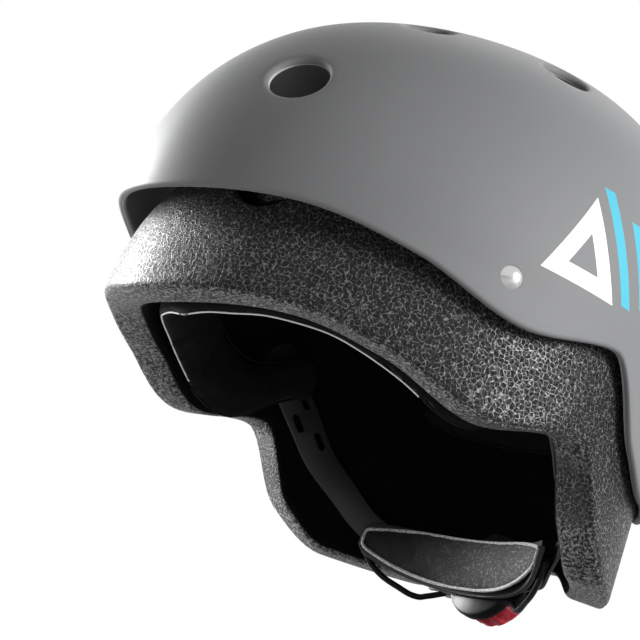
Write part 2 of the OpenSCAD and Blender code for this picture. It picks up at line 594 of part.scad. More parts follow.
// Involute flank: angle of the flank at radius r, from the tooth's middle
function inv_deg(a) = tan(a) * 180 / PI - a;
half_tooth = (tooth_pitch / 2 - backlash / 2) / 2 / pitch_r * 180 / PI;
function flank(r) = half_tooth + inv_deg(pressure) - inv_deg(acos(min(1, base_r / r)));
module pinion_outline() {
    low_r = max(base_r, root_r);
    flank_rs = [for (k = [0:5]) low_r + (tip_r - low_r) * k / 5];
    circle(r = root_r, $fn = round_fn);
    for (i = [0:pinion_teeth - 1]) rotate(90 + i * 360 / pinion_teeth)
        polygon(concat([[0, 0]],
            [for (r = flank_rs) [r * cos(-flank(r)), r * sin(-flank(r))]],
            [for (k = [5:-1:0]) let(r = flank_rs[k]) [r * cos(flank(r)), r * sin(flank(r))]]));
}
module pinion() color([0.75, 0.75, 0.72]) worn() dial_frame() difference() {
    union() {
        translate([0, 0, -rack_t / 2]) linear_extrude(height = rack_t) pinion_outline();
        translate([0, 0, rack_t / 2 - tiny]) cylinder(r = root_r, h = clear, $fn = round_fn);
        translate([0, 0, channel_half_t]) cylinder(r = hub_r - run_gap, h = hub_t, $fn = round_fn);
        translate([0, 0, channel_half_t + hub_t - tiny])
            cylinder(r = boss_r, h = knob_front + boss_in - clear - channel_half_t - hub_t, $fn = round_fn);
    }
    translate([0, 0, -rack_t / 2 + 1]) cylinder(r = 2 + run_gap, h = 10, $fn = round_fn);
}

// Racks: the left one runs above the pinion, the right one below it
rack_inner = 13;
rack_outer = housing_half + 5.5;
rack_teeth = floor(rack_inner / tooth_pitch);
module rack_outline() {
    top_half = (tooth_pitch / 2 - backlash / 2) / 2;
    translate([-rack_inner, rack_root]) square([rack_inner + rack_outer, rack_back_h]);
    for (i = [-rack_teeth:rack_teeth]) translate([(i + 0.5) * tooth_pitch, 0])
        polygon([[-top_half - (rack_root - pitch_r) * tan(pressure), rack_root + tiny],
                 [-top_half + (pitch_r - rack_tip) * tan(pressure), rack_tip],
                 [top_half - (pitch_r - rack_tip) * tan(pressure), rack_tip],
                 [top_half + (rack_root - pitch_r) * tan(pressure), rack_root + tiny]]);
}
module rack_body() translate([0, 0, -rack_t / 2]) linear_extrude(height = rack_t)
    rotate(180) mirror([1, 0]) rack_outline();
module left_rack() color([0.14, 0.14, 0.15]) worn() dial_frame() rack_body();
module right_rack() color([0.14, 0.14, 0.15]) worn() dial_frame() rotate(180) rack_body();

module dial_housing() color([0.06, 0.06, 0.07]) worn() dial_frame() difference() {
    union() {
        translate([0, 0, -housing_half_t])
            cylinder(r = knob_r + 1, h = 2 * housing_half_t, $fn = 96);
        translate([0, 0, -housing_half_t]) linear_extrude(height = 2 * housing_half_t)
            hull() for (x = [-1, 1]) for (y = [-1, 1])
                translate([x * (housing_half - housing_corner), y * (housing_half_h - housing_corner)])
                    circle(r = housing_corner, $fn = 48);
    }
    translate([-2 * housing_half, -channel_half_h, -channel_half_t])
        cube([4 * housing_half, 2 * channel_half_h, 2 * channel_half_t]);
    cylinder(r = hub_r, h = 4 * housing_half_t, $fn = round_fn);
    at_screws() {
        translate([0, 0, -screw_head_h - 0.1])
            cylinder(r = screw_head_r + 0.15, h = 2 * screw_head_h, $fn = 24);
        translate([0, 0, -screw_long - 0.3])
            cylinder(r = screw_r + run_gap, h = screw_long, $fn = 24);
    }
}

// Four small screws that close the housing, sunk in the face under the knob
screw_r = 1;
screw_head_r = 1.8;
screw_head_h = 1.3;
screw_long = 4.6;
screw_x = 10;
screw_y = channel_half_h + screw_head_r + 1.6;
module at_screws() for (x = [-1, 1]) for (y = [-1, 1])
    translate([x * screw_x, y * screw_y, housing_half_t]) children();
module housing_screws() color([0.55, 0.55, 0.57]) worn() dial_frame() at_screws() {
    translate([0, 0, -screw_head_h - 0.1]) cylinder(r = screw_head_r, h = screw_head_h, $fn = 24);
    translate([0, 0, -screw_long]) cylinder(r = screw_r, h = screw_long - screw_head_h, $fn = 24);
}

// Knob: a hollow turned cap with shallow grips, held by one screw
grip_count = 16;
grip_r = 2.2;
knob_wall = 2.6;
module dial_knob() color([0.55, 0.04, 0.08, 0.8]) worn() dial_frame() translate([0, 0, knob_front])
    difference() {
        union() {
            cylinder(r = knob_r, h = knob_depth - knob_bevel, $fn = 96);
            translate([0, 0, knob_depth - knob_bevel])
                cylinder(r1 = knob_r, r2 = knob_r - knob_bevel, h = knob_bevel, $fn = 96);
        }
        difference() {
            translate([0, 0, -1]) cylinder(r = knob_r - knob_wall, h = knob_depth - 2, $fn = 96);
            translate([0, 0, boss_in]) cylinder(r = 1.5 * boss_r, h = knob_depth, $fn = round_fn);
        }
        translate([0, 0, -1]) cylinder(r = 2 + 0.2, h = 2 * knob_depth, $fn = round_fn);
        translate([0, 0, knob_depth - 3]) cylinder(r = 4.8, h = 4, $fn = round_fn);
        for (i = [0:grip_count - 1]) rotate((i + 0.5) * 360 / grip_count)
            translate([knob_r + grip_r * 0.55, 0, -1]) cylinder(r = grip_r, h = knob_depth + 2, $fn = 24);
    }
module dial_screw() color([0.6, 0.6, 0.62]) worn() dial_frame() {
    head_z = knob_front + knob_depth - 3;
    difference() {
        union() {
            translate([0, 0, head_z]) cylinder(r = 4.4, h = 2.2, $fn = round_fn);
            translate([0, 0, 0.4]) cylinder(r = 2, h = head_z, $fn = round_fn);
        }
        for (a = [0, 90]) rotate(a) translate([-2.6, -0.4, head_z + 1])
            cube([5.2, 0.8, 3]);
    }
}

outer_shell();
rivets();
rivet_washers();
foam_liner();
brow_pad();
crown_pad();
rear_pad();
brow_patches();
crown_patch();
rear_patches();
temple_inserts();
temple_pins();
left_band();
right_band();
nape_cradle();
cradle_pins();
left_rib();
right_rib();
nape_pad();
dial_housing();
housing_screws();
left_rack();
right_rack();
pinion();
dial_knob();
dial_screw();
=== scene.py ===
import math

import bmesh
import bpy
import numpy as np
from mathutils import Matrix, Vector
from mathutils.bvhtree import BVHTree


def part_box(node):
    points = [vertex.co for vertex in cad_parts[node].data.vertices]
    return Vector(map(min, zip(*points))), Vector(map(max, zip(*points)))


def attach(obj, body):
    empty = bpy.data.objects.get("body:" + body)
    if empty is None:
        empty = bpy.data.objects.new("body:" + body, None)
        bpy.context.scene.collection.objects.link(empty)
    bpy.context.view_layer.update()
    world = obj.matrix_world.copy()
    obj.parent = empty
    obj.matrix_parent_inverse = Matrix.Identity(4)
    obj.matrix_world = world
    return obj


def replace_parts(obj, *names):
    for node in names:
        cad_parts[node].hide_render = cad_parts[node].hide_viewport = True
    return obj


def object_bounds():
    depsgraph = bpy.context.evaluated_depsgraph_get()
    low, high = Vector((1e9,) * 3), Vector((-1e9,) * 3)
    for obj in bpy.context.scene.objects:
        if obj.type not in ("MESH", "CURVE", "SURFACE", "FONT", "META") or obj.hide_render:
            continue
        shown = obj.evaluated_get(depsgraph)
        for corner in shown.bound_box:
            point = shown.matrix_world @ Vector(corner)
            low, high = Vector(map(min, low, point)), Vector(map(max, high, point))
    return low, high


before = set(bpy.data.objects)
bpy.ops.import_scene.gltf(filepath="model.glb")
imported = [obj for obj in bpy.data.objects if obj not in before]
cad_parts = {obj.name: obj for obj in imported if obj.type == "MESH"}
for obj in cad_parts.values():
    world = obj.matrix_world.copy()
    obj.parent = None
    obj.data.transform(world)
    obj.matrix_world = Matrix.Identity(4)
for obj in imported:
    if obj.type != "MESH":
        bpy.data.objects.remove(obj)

cad_low, cad_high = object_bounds()

# Foam liner
# Black bead foam, moulded in one piece 18 mm thick, with the ear arches and the vents.
# Everything else is carried by it.
MM = 0.001
SIDE, CROWN, FRONT, REAR = 110.0, 118.5, 138.5, 120.0
FRONT_FULL, REAR_FULL, PLAN_FULL = 2.03, 2.8, 1.85
BROW_FLARE, BROW_SET_BACK = 0.15, 4.5
SHELL_WALL, SHELL_GAP, FOAM_WALL = 3.5, 0.8, 18.0
foam_out = SHELL_WALL + SHELL_GAP
foam_in = foam_out + FOAM_WALL

# The rim's rise at degrees round the head from the brow, and the place in the part's frame of the
# middle of the widest line, which the sizes of the dome start from.
rim_at = np.array([0, 35, 55, 75, 95, 108, 122, 145, 165, 180.0])
rim_rise = np.array([0, 4.5, 0, -10, 0, -29.5, -42, -41.5, -29, -24.0])
worn = np.array([0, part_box("outer_shell")[1].y / MM - REAR,
                 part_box("foam_liner")[1].z / MM - (CROWN - foam_out)])


def rim(p):
    """Height of the liner's rim at an angle round the head, in mm over the widest line."""
    q = np.abs((np.asarray(p, float) + 180) % 360 - 180)
    rise = np.diff(rim_rise) / np.diff(rim_at)
    knot = np.zeros(len(rim_at))
    same = rise[:-1] * rise[1:] > 0
    knot[1:-1][same] = 2 * (rise[:-1] * rise[1:])[same] / (rise[:-1] + rise[1:])[same]
    i = np.clip(np.searchsorted(rim_at, q, side="right") - 1, 0, len(rim_at) - 2)
    w = rim_at[i + 1] - rim_at[i]
    t = (q - rim_at[i]) / w
    return (rim_rise[i] * (2 * t**3 - 3 * t**2 + 1) + knot[i] * w * (t**3 - 2 * t**2 + t)
            + rim_rise[i + 1] * (3 * t**2 - 2 * t**3) + knot[i + 1] * w * (t**3 - t**2))


def skin(p, z, off):
    """Points of the dome at p degrees round the head, z up, and off deep under the shell's skin."""
    p, z, off = np.broadcast_arrays(np.radians(np.asarray(p, float)), np.asarray(z, float), off)
    fore = (1 + np.cos(p)) / 2
    full = FRONT_FULL * fore + REAR_FULL * (1 - fore)
    up = np.clip(z / (CROWN - off), 0, 1)
    share = np.where(z <= 0, 1.0, (1 - up ** full) ** (1 / full))
    plan = (np.abs(np.cos(p)) ** PLAN_FULL + np.abs(np.sin(p)) ** PLAN_FULL) ** (-1 / PLAN_FULL)
    lean = BROW_FLARE * fore * np.maximum(-z, 0)
    front = FRONT - np.where(off < foam_out - 0.01, 0, BROW_SET_BACK)
    reach = np.where(np.cos(p) > 0, front, REAR)
    return np.stack([((SIDE - off) * share + lean) * np.sin(p) * plan,
                     -((reach - off) * share + lean) * np.cos(p) * plan, z], -1)


def dome(out_off, in_off, low, out_round, in_round, around, rows):
    """A closed dome between two depths, as a bmesh in mm, and its sets of outer and inner points.

    low gives the height of its edge at p. The edge is rounded on both sides.
    """
    p = np.arange(around) * 360 / around
    low = low(p)
    turns = np.linspace(0, math.pi / 2, 5)
    top_ring = 0.985
    climb = np.sin(np.linspace(top_ring, 0, rows) * math.pi / 2)
    outer = [skin(p, low + out_round + (CROWN - out_off - low - out_round) * t, out_off)
             for t in climb]
    edge = [skin(p, low + out_round * (1 - math.sin(a)), out_off + out_round * (1 - math.cos(a)))
            for a in turns[1:]]
    edge += [skin(p, low + in_round * (1 - math.cos(a)), in_off - in_round * (1 - math.sin(a)))
             for a in turns[:-1]]
    inner = [skin(p, low + in_round + (CROWN - in_off - low - in_round) * t, in_off)
             for t in climb[::-1]]
    bm = bmesh.new()
    rings = [[bm.verts.new(v) for v in ring] for ring in outer + edge + inner]
    for a, b in zip(rings, rings[1:]):
        for i in range(len(a)):
            j = (i + 1) % len(a)
            bm.faces.new((a[i], a[j], b[j], b[i]))
    tip_rise = 0.02
    for ring, side in ((rings[0], 1), (rings[-1], -1)):
        tip = bm.verts.new(np.mean([v.co for v in ring], 0) + [0, 0, side * tip_rise])
        for i in range(len(ring)):
            j = (i + 1) % len(ring)
            bm.faces.new((tip, ring[j], ring[i]) if side > 0 else (tip, ring[i], ring[j]))
    outside = {v for ring in rings[:len(outer)] for v in ring}
    inside = {v for ring in rings[-len(inner):] for v in ring}
    return bm, outside, inside


class Opening:
    """A round opening: where it is on the dome, and its radius."""

    def __init__(self, at, rise, radius):
        self.at, self.rise, self.radius = at, rise, radius
        step = 0.2
        self.middle = skin(at, rise, 0)
        slide = (skin(at + step, rise, 0) - skin(at - step, rise, 0)) / (2 * step)
        climb = (skin(at, rise + step, 0) - skin(at, rise - step, 0)) / (2 * step)
        self.across = slide / np.linalg.norm(slide)
        out = np.cross(slide, climb)
        self.out = out / np.linalg.norm(out)
        self.up = np.cross(self.out, self.across)
        axes = np.stack([self.across, self.up])
        self.turn_back = np.linalg.inv(axes @ np.stack([slide, climb], 1))

    def flat(self, points):
        """Points as seen straight into the opening."""
        rel = np.asarray(points) - self.middle
        return np.stack([rel @ self.across, rel @ self.up], -1)

    def onto(self, xy, off):
        """Points on the dome at a depth whose flat places are xy."""
        xy = np.asarray(xy, float)
        p = np.full(xy.shape[:-1], float(self.at))
        z = np.full(xy.shape[:-1], float(self.rise))
        for _ in range(30):
            miss = (xy - self.flat(skin(p, z, off))) @ self.turn_back.T
            p, z = p + 0.7 * miss[..., 0], np.minimum(z + 0.7 * miss[..., 1], CROWN - off - 0.05)
        return skin(p, z, off)

    def gap(self, xy):
        """How far flat places lie outside the opening."""
        return np.hypot(xy[..., 0], xy[..., 1]) - self.radius

    def outline(self, count, grow):
        """The opening's flat outline, grown by so much."""
        a = np.arange(count) * 2 * math.pi / count
        return (self.radius + grow) * np.stack([np.cos(a), np.sin(a)], -1)

    def cut(self, bm, points, off, grow, cell):
        """Opens the hole in one skin of the dome and returns its loop of points, in order."""
        near_by = self.radius + 30
        near = [v for v in points if v.is_valid
                and (Vector(self.middle) - v.co).length < near_by]
        flat = dict(zip(near, self.flat([v.co[:] for v in near])))
        gone = {v for v in near if self.gap(flat[v]) - grow < -0.3 * cell}
        faces = {f for v in gone for f in v.link_faces}
        bmesh.ops.delete(bm, geom=list(faces), context="FACES")
        points.intersection_update([v for v in points if v.is_valid])
        rest = [v for v in near if v.is_valid]
        edges = {e for v in rest for e in v.link_edges if len(e.link_faces) == 1}
        start = next(iter(sorted(edges, key=lambda e: tuple(e.verts[0].co)))).verts[0]
        loop, last = [start], None
        while True:
            for e in loop[-1].link_edges:
                if e in edges and e.other_vert(loop[-1]) is not last:
                    last = loop[-1]
                    loop.append(e.other_vert(last))
                    break
            if loop[-1] is start:
                loop.pop()
                break
        xy = np.array([flat[v] for v in loop])
        turn = np.sum(xy[:, 0] * np.roll(xy[:, 1], -1) - np.roll(xy[:, 0], -1) * xy[:, 1])
        if turn < 0:
            loop, xy = loop[::-1], xy[::-1]
        goal = self.outline(len(loop), grow)
        shift = min(range(len(loop)), key=lambda k: np.sum((np.roll(goal, -k, 0) - xy) ** 2))
        goal = np.roll(goal, -shift, 0)
        for v, place in zip(loop, self.onto(goal, off)):
            v.co = place
        flat.update(zip(loop, goal))
        held = set(loop)
        loose = [v for v in rest if v not in held and self.gap(flat[v]) - grow < 4 * cell]
        for _ in range(14):
            moved = {v: np.mean([flat.get(e.other_vert(v), flat[v]) for e in v.link_edges], 0)
                     for v in loose}
            flat.update(moved)
        if loose:
            for v, place in zip(loose, self.onto(np.array([flat[v] for v in loose]), off)):
                v.co = place
        return loop, goal

    def pierce(self, bm, outside, inside, out_off, in_off, out_round, in_round, cell):
        """A hole right through a dome, rounded where it meets the two skins."""
        loop, goal = self.cut(bm, outside, out_off, out_round, cell)
        count = len(loop)
        shift = min(range(count), key=lambda k: np.sum(
            (np.roll(self.outline(count, out_round), -k, 0) - goal) ** 2))
        wall = in_off - out_off
        turns = np.linspace(0, math.pi / 2, 6)
        path = [(out_round * (1 - math.sin(a)), out_round * (1 - math.cos(a))) for a in turns[1:]]
        path += [(in_round * (1 - math.cos(a)), wall - in_round * (1 - math.sin(a)))
                 for a in turns[:-1]]
        rings = [loop]
        for grow, deep in path:
            place = self.onto(np.roll(self.outline(count, grow), -shift, 0), out_off + deep)
            rings.append([bm.verts.new(v) for v in place])
        for a, b in zip(rings, rings[1:]):
            for i in range(count):
                j = (i + 1) % count
                bm.faces.new((a[i], b[i], b[j], a[j]))
        end, _ = self.cut(bm, inside, in_off, in_round, cell)
        sides = [bm.edges.get((ring[i], ring[(i + 1) % len(ring)]))
                 for ring in (rings[-1], end) for i in range(len(ring))]
        bmesh.ops.bridge_loops(bm, edges=sides)


def piece(name, bm, body, bend=40):
    """Makes a piece that rides on the body, from a bmesh in mm, smooth up to the bend."""
    bmesh.ops.recalc_face_normals(bm, faces=bm.faces)
    mesh = bpy.data.meshes.new(name)
    bm.to_mesh(mesh)
    bm.free()
    mesh.transform(Matrix.Translation(Vector(worn * MM)) @ Matrix.Scale(MM, 4))
    mesh.shade_smooth()
    mesh.set_sharp_from_angle(angle=math.radians(bend))
    made = bpy.data.objects.new(name, mesh)
    bpy.context.scene.collection.objects.link(made)
    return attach(made, body)


class Wire:
    """A socket of a shader. Sums written with it add Math nodes."""

    def __init__(self, tree, socket):
        self.tree, self.socket = tree, socket

    def add(self, kind, settings=None, values=None, out=0):
        node = self.tree.nodes.new("ShaderNode" + kind)
        for key, value in (settings or {}).items():
            setattr(node, key, value)
        for key, value in (values or {}).items():
            if isinstance(value, Wire):
                self.tree.links.new(value.socket, node.inputs[key])
            else:
                node.inputs[key].default_value = value
        return Wire(self.tree, node.outputs[out])

    def sum(self, operation, *values):
        return self.add("Math", {"operation": operation}, dict(enumerate(values)))

    def __add__(self, o): return self.sum("ADD", self, o)
    def __radd__(self, o): return self.sum("ADD", o, self)
    def __sub__(self, o): return self.sum("SUBTRACT", self, o)
    def __rsub__(self, o): return self.sum("SUBTRACT", o, self)
    def __mul__(self, o): return self.sum("MULTIPLY", self, o)
    def __rmul__(self, o): return self.sum("MULTIPLY", o, self)
    def __neg__(self): return self.sum("MULTIPLY", self, -1.0)
    def __abs__(self): return self.sum("ABSOLUTE", self)
    def __gt__(self, o): return self.sum("GREATER_THAN", self, o)
    def __lt__(self, o): return self.sum("LESS_THAN", self, o)

    def least(self, o): return self.sum("MINIMUM", self, o)
    def most(self, o): return self.sum("MAXIMUM", self, o)

    def fade(self, low, high):
        """0 below low, 1 above high, and smooth between."""
        return self.add("MapRange", {"interpolation_type": "SMOOTHSTEP"},
                        {"Value": self, "From Min": low, "From Max": high})

    def noise(self, size, detail=2.0, rough=0.5):
        """Noise whose grains are about size mm across."""
        return self.add("TexNoise", None, {"Vector": self, "Scale": 1 / (size * MM),
                                           "Detail": detail, "Roughness": rough})

    def knots(self, size):
        """Round cells about size mm across, dark in the middle."""
        return self.add("TexVoronoi", {"feature": "F1"}, {"Vector": self, "Scale": 1 / (size * MM)})

    def vector(self, operation, values, out=0):
        return self.add("VectorMath", {"operation": operation}, values, out)

    def axis(self, k):
        """This vector's x, y or z."""
        return self.add("SeparateXYZ", None, {0: self}, k)

    def tint(self, low, high):
        """Goes from one colour to another as this value goes from 0 to 1."""
        low, high = (c if isinstance(c, Wire) else (*c, 1) for c in (low, high))
        return self.add("Mix", {"data_type": "RGBA"}, {0: self, 6: low, 7: high}, 2)


class Finish:
    """One material: its place in the part's own metres, and the Principled shader it drives."""

    def __init__(self, name, **fixed):
        self.material = bpy.data.materials.new(name)
        self.material.use_nodes = True
        tree = self.material.node_tree
        self.shader = tree.nodes["Principled BSDF"]
        start = Wire(tree, self.shader.outputs[0])
        self.normal, self.place = start.add("TexCoord", out=1), start.add("TexCoord", out=3)
        for key, value in fixed.items():
            self.set(key.replace("_", " "), value)

    def set(self, key, value):
        if isinstance(value, Wire):
            value.tree.links.new(value.socket, self.shader.inputs[key])
        elif isinstance(value, tuple) and len(value) == 3:
            self.shader.inputs[key].default_value = (*value, 1)
        else:
            self.shader.inputs[key].default_value = value

    def bump(self, height, depth):
        """Relief whose full height is depth, in mm."""
        self.set("Normal", height.add("Bump", None, {"Height": height, "Distance": depth * MM,
                                                     "Strength": 1.0}))

    def show(self, other, factor):
        """Shows another shader where the factor is 1."""
        tree = self.material.node_tree
        own = Wire(tree, self.shader.outputs[0])
        mixed = other.add("MixShader", None, {0: factor, 1: own, 2: other})
        tree.links.new(mixed.socket, tree.nodes["Material Output"].inputs[0])

    def on(self, *pieces):
        for one in pieces:
            one.data.materials.clear()
            one.data.materials.append(self.material)


BEAD, BEAD_TURN, WARP, WARP_SIZE = 2.0, 0.9, 1.4, 5.0
DOME_MIDDLE = 60.0


def outward_face(finish):
    """1 on the faces of a dome that look out, and 0 on those that look in."""
    middle = tuple((worn + [0, 0, DOME_MIDDLE]) * MM)
    ray = finish.place.vector("SUBTRACT", {0: finish.place, 1: middle})
    ray = ray.vector("NORMALIZE", {0: ray})
    return ray.vector("DOT_PRODUCT", {0: ray, 1: finish.normal}, 1).fade(-0.15, 0.15)


foam = Finish("bead foam", Specular_IOR_Level=0.13, Coat_Roughness=0.35)
outer = outward_face(foam)
# Outer faces that look down, the rim's underside, are painted pale grey with white flecks: painted
# light from below, with painted sparkle in the flecks.
lit_underside = outer * (-foam.normal.axis(2)).fade(0.5, 0.8)
drift = foam.place.add("TexNoise", None, {"Vector": foam.place, "Scale": 1 / (WARP_SIZE * MM)}, 1)
drift = drift.vector("SCALE", {0: drift, "Scale": WARP * MM})
cells = {"Vector": foam.place.vector("ADD", {0: foam.place, 1: drift}),
         "Scale": 1 / (BEAD * MM), "Randomness": BEAD_TURN}
bead_edge = foam.place.add("TexVoronoi", {"feature": "DISTANCE_TO_EDGE"}, cells)
bead_tone = foam.place.add("TexVoronoi", {"feature": "F1"}, cells, 1)
tone = bead_tone.add("SeparateColor", None, {0: bead_tone})
grain = foam.place.noise(1.2, 4, 0.75).fade(0.44, 0.6)
fleck = foam.place.noise(1.3, 4, 0.8).fade(0.46, 0.6)
glint = foam.place.noise(0.6, 2, 0.6).fade(0.6, 0.68)
crease_with_painted_highlight = 1 - bead_edge.fade(0.02, 0.13)
# The moulded skin's colour holds painted light: the creases between the beads are painted paler, a
# painted highlight of grazing light on the bead edges, and the glint specks are painted glints.
moulded = 0.01 * tone + 0.015 * grain + crease_with_painted_highlight * (0.02 + 0.26 * grain) + 0.2 * glint * grain
# Painted light from below on the rim's underside, with painted sparkle in its white flecks.
painted_underside_light = 0.02 + 0.98 * fleck
foam.set("Base Color", (moulded * (1 - lit_underside) + painted_underside_light * lit_underside).tint(
    (0.004, 0.004, 0.0043), (0.4, 0.4, 0.404)))
foam.set("Roughness", 0.5 - 0.15 * crease_with_painted_highlight + 0.2 * (grain - 0.5))
foam.set("Coat Weight", crease_with_painted_highlight * (0.15 + 0.6 * grain) * (1 - lit_underside))
foam.bump((crease_with_painted_highlight * 0.7 + grain * 0.6) * (1 - lit_underside) + fleck * lit_underside, 0.35)
# Painted shade: the liner's inward faces show a darker copy of the foam with little shine, standing
# in for the shade inside the helmet.
shaded_inside_copy = foam.place.add("BsdfPrincipled", None, {
    "Base Color": tone.tint((0.0015, 0.0015, 0.0016), (0.004, 0.004, 0.0042)),
    "Roughness": 0.9, "Specular IOR Level": 0.06})
foam.show(shaded_inside_copy, 1 - outer)

BROW_VENT, BROW_VENT_AT, BROW_VENT_RISE = 11.5, 20.5, 51.5
SMALL_VENT, CROWN_VENTS = 9.5, ((31, 17.5), (77, 17.5), (140, 21))
REAR_VENT_AT, REAR_VENT_RISE = 158, 42
vents = [Opening(s * BROW_VENT_AT, BROW_VENT_RISE, BROW_VENT) for s in (-1, 1)]
vents += [Opening(s * at, CROWN - drop, SMALL_VENT) for at, drop in CROWN_VENTS for s in (-1, 1)]
vents += [Opening(s * REAR_VENT_AT, REAR_VENT_RISE, SMALL_VENT) for s in (-1, 1)]
RIM_DROP, RIM_ROUND_OUT, RIM_ROUND_IN = 2.0, 2.2, 4.0
VENT_ROUND_OUT, VENT_ROUND_IN, FOAM_CELL = 1.6, 2.2, 3.1
bm, outside, inside = dome(foam_out, foam_in, lambda p: rim(p) - RIM_DROP,
                           RIM_ROUND_OUT, RIM_ROUND_IN, 240, 64)
for opening in vents:
    opening.pierce(bm, outside, inside, foam_out, foam_in, VENT_ROUND_OUT, VENT_ROUND_IN, FOAM_CELL)
liner = piece("liner", bm, "liner")
foam.on(liner)
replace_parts(liner, "foam_liner")

# Outer shell
# Grey injection moulded plastic, 3.5 mm thick, satin outside, with a rounded rim. The
# vents are rolled over at the edge. It is shown lifted straight off the liner.
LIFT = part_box("outer_shell")[1].z / MM - worn[2] - CROWN
EDGE_FRONT, EDGE_SIDE, EDGE_REAR, EDGE_DROP, EDGE_ROUND = -2.5, -3.5, 0.0, 1.0, 1.7
ROLLED_OUT, ROLLED_IN, SHELL_CELL = 2.6, 0.6, 2.9


def shell_edge(p):
    """The shell's edge runs over the liner's rim by three steps: at the brow, ears and back."""
    mean = (EDGE_FRONT + EDGE_REAR) / 4 + EDGE_SIDE / 2
    twice = (EDGE_FRONT + EDGE_REAR) / 4 - EDGE_SIDE / 2
    a = np.radians(p)
    step = mean + (EDGE_FRONT - EDGE_REAR) / 2 * np.cos(a) + twice * np.cos(2 * a)
    return rim(p) + step - EDGE_DROP


bm, outside, inside = dome(0, SHELL_WALL, shell_edge, EDGE_ROUND, EDGE_ROUND, 260, 70)
for opening in vents:
    opening.pierce(bm, outside, inside, 0, SHELL_WALL, ROLLED_OUT, ROLLED_IN, SHELL_CELL)
for v in bm.verts:
    v.co.z += LIFT
shell = piece("shell", bm, "shell")
grey = Finish("satin grey plastic", Specular_IOR_Level=0.12)
fine = grey.place.noise(0.5, 3, 0.6)
broad = grey.place.noise(60, 2)
scuff = grey.place.noise(7, 4, 0.65).fade(0.62, 0.78)

# The mark on the wearer's left is a plain one: a white triangle's outline and three blue bars.
ART_Y, ART_Z, ART_SIZE, ART_LINE, ART_SLOPE, ART_FALL = -18.0, 66.0, 36.0, 6.5, 0.9, 0.436
BAR_FIRST, BAR_STEP, BAR_LEAN, BAR_HALF = 17, 12, 0.48, 2.6
art_y = grey.place.axis(1) * (1 / MM) - (worn[1] + ART_Y)
art_z = grey.place.axis(2) * (1 / MM) - (worn[2] + ART_Z)
on_left = grey.place.axis(0) > 0.05
slant = art_z * ART_FALL - ART_SIZE * 0.22
peak = (art_y * ART_SLOPE + slant).most(-art_y * ART_SLOPE + slant).most(-art_z - ART_SIZE / 2)
white = on_left * (abs(peak + ART_LINE / 2) < ART_LINE / 2)
bars = 0
for k in range(3):
    across = art_y + BAR_LEAN * art_z - (BAR_FIRST + BAR_STEP * k)
    bars = (abs(across) < BAR_HALF) * (abs(art_z + 2 * k - 4) < 20 - 5 * k) + bars
blue = on_left * bars.least(1.0)
paint = (broad * 0.6 + fine * 0.4).tint((0.135, 0.137, 0.14), (0.165, 0.167, 0.17))
paint = blue.tint(white.tint(paint, (0.72, 0.72, 0.72)), (0.06, 0.33, 0.43))
# The shell's inward faces are painted pale grey, a painted stand-in for the light that bounces up
# into the shell.
bounce_lit_inside = 1 - outward_face(grey)
grey.set("Base Color", bounce_lit_inside.tint(paint, (0.42, 0.42, 0.42)))
grey.set("Roughness", 0.48 + 0.1 * fine + 0.08 * scuff)
grey.bump(fine, 0.02)
grey.on(shell)
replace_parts(shell, "outer_shell")

# Rivets
# Domed chromed heads, one at each temple and one behind each ear. Their shanks go through the
# shell to a zinc plated washer inside.


def turned(profile, middle, axis, sides=48):
    """A turned form in mm: profile is (radius, height) from the axis to the axis."""
    bm = bmesh.new()
    turn = Vector(axis).to_track_quat("Z", "Y")
    rings = [[bm.verts.new(Vector(middle) + turn @ Vector((r * math.cos(a), r * math.sin(a), h)))
              for a in np.arange(sides) * 2 * math.pi / sides] for r, h in profile]
    for a, b in zip(rings, rings[1:]):
        for i in range(sides):
            j = (i + 1) % sides
            bm.faces.new((a[i], a[j], b[j], b[i]))
    bm.faces.new(rings[0])
    bm.faces.new(rings[-1][::-1])
    return bm


def joined(parts):
    """One bmesh of several."""
    whole = bmesh.new()
    for bm in parts:
        mesh = bpy.data.meshes.new("part")
        bm.to_mesh(mesh)
        whole.from_mesh(mesh)
        bpy.data.meshes.remove(mesh)
        bm.free()
    return whole


def refined(name, node, body, bevel, keep=lambda middle: True):
    """The node's own solid with its sharp edges rounded, as a piece that replaces it."""
    made = bpy.data.objects.new(name, bpy.data.objects[node].data.copy())
    bpy.context.scene.collection.objects.link(made)
    bm = bmesh.new()
    bm.from_mesh(made.data)
    bmesh.ops.remove_doubles(bm, verts=bm.verts, dist=0.002 * MM)
    bmesh.ops.dissolve_limit(bm, angle_limit=math.radians(1), verts=bm.verts, edges=bm.edges)
    corner = math.radians(30)
    sharp = [e for e in bm.edges if len(e.link_faces) == 2 and e.calc_face_angle() > corner
             and keep((e.verts[0].co + e.verts[1].co) / 2 / MM - Vector(worn))]
    bmesh.ops.bevel(bm, geom=sharp, offset=bevel * MM, segments=2, profile=0.5, affect="EDGES",
                    clamp_overlap=True)
    bmesh.ops.triangulate(bm, faces=[f for f in bm.faces if len(f.verts) > 4])
    bm.to_mesh(made.data)
    bm.free()
    made.data.shade_smooth()
    made.data.set_sharp_from_angle(angle=math.radians(28))
    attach(made, body)
    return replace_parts(made, node)


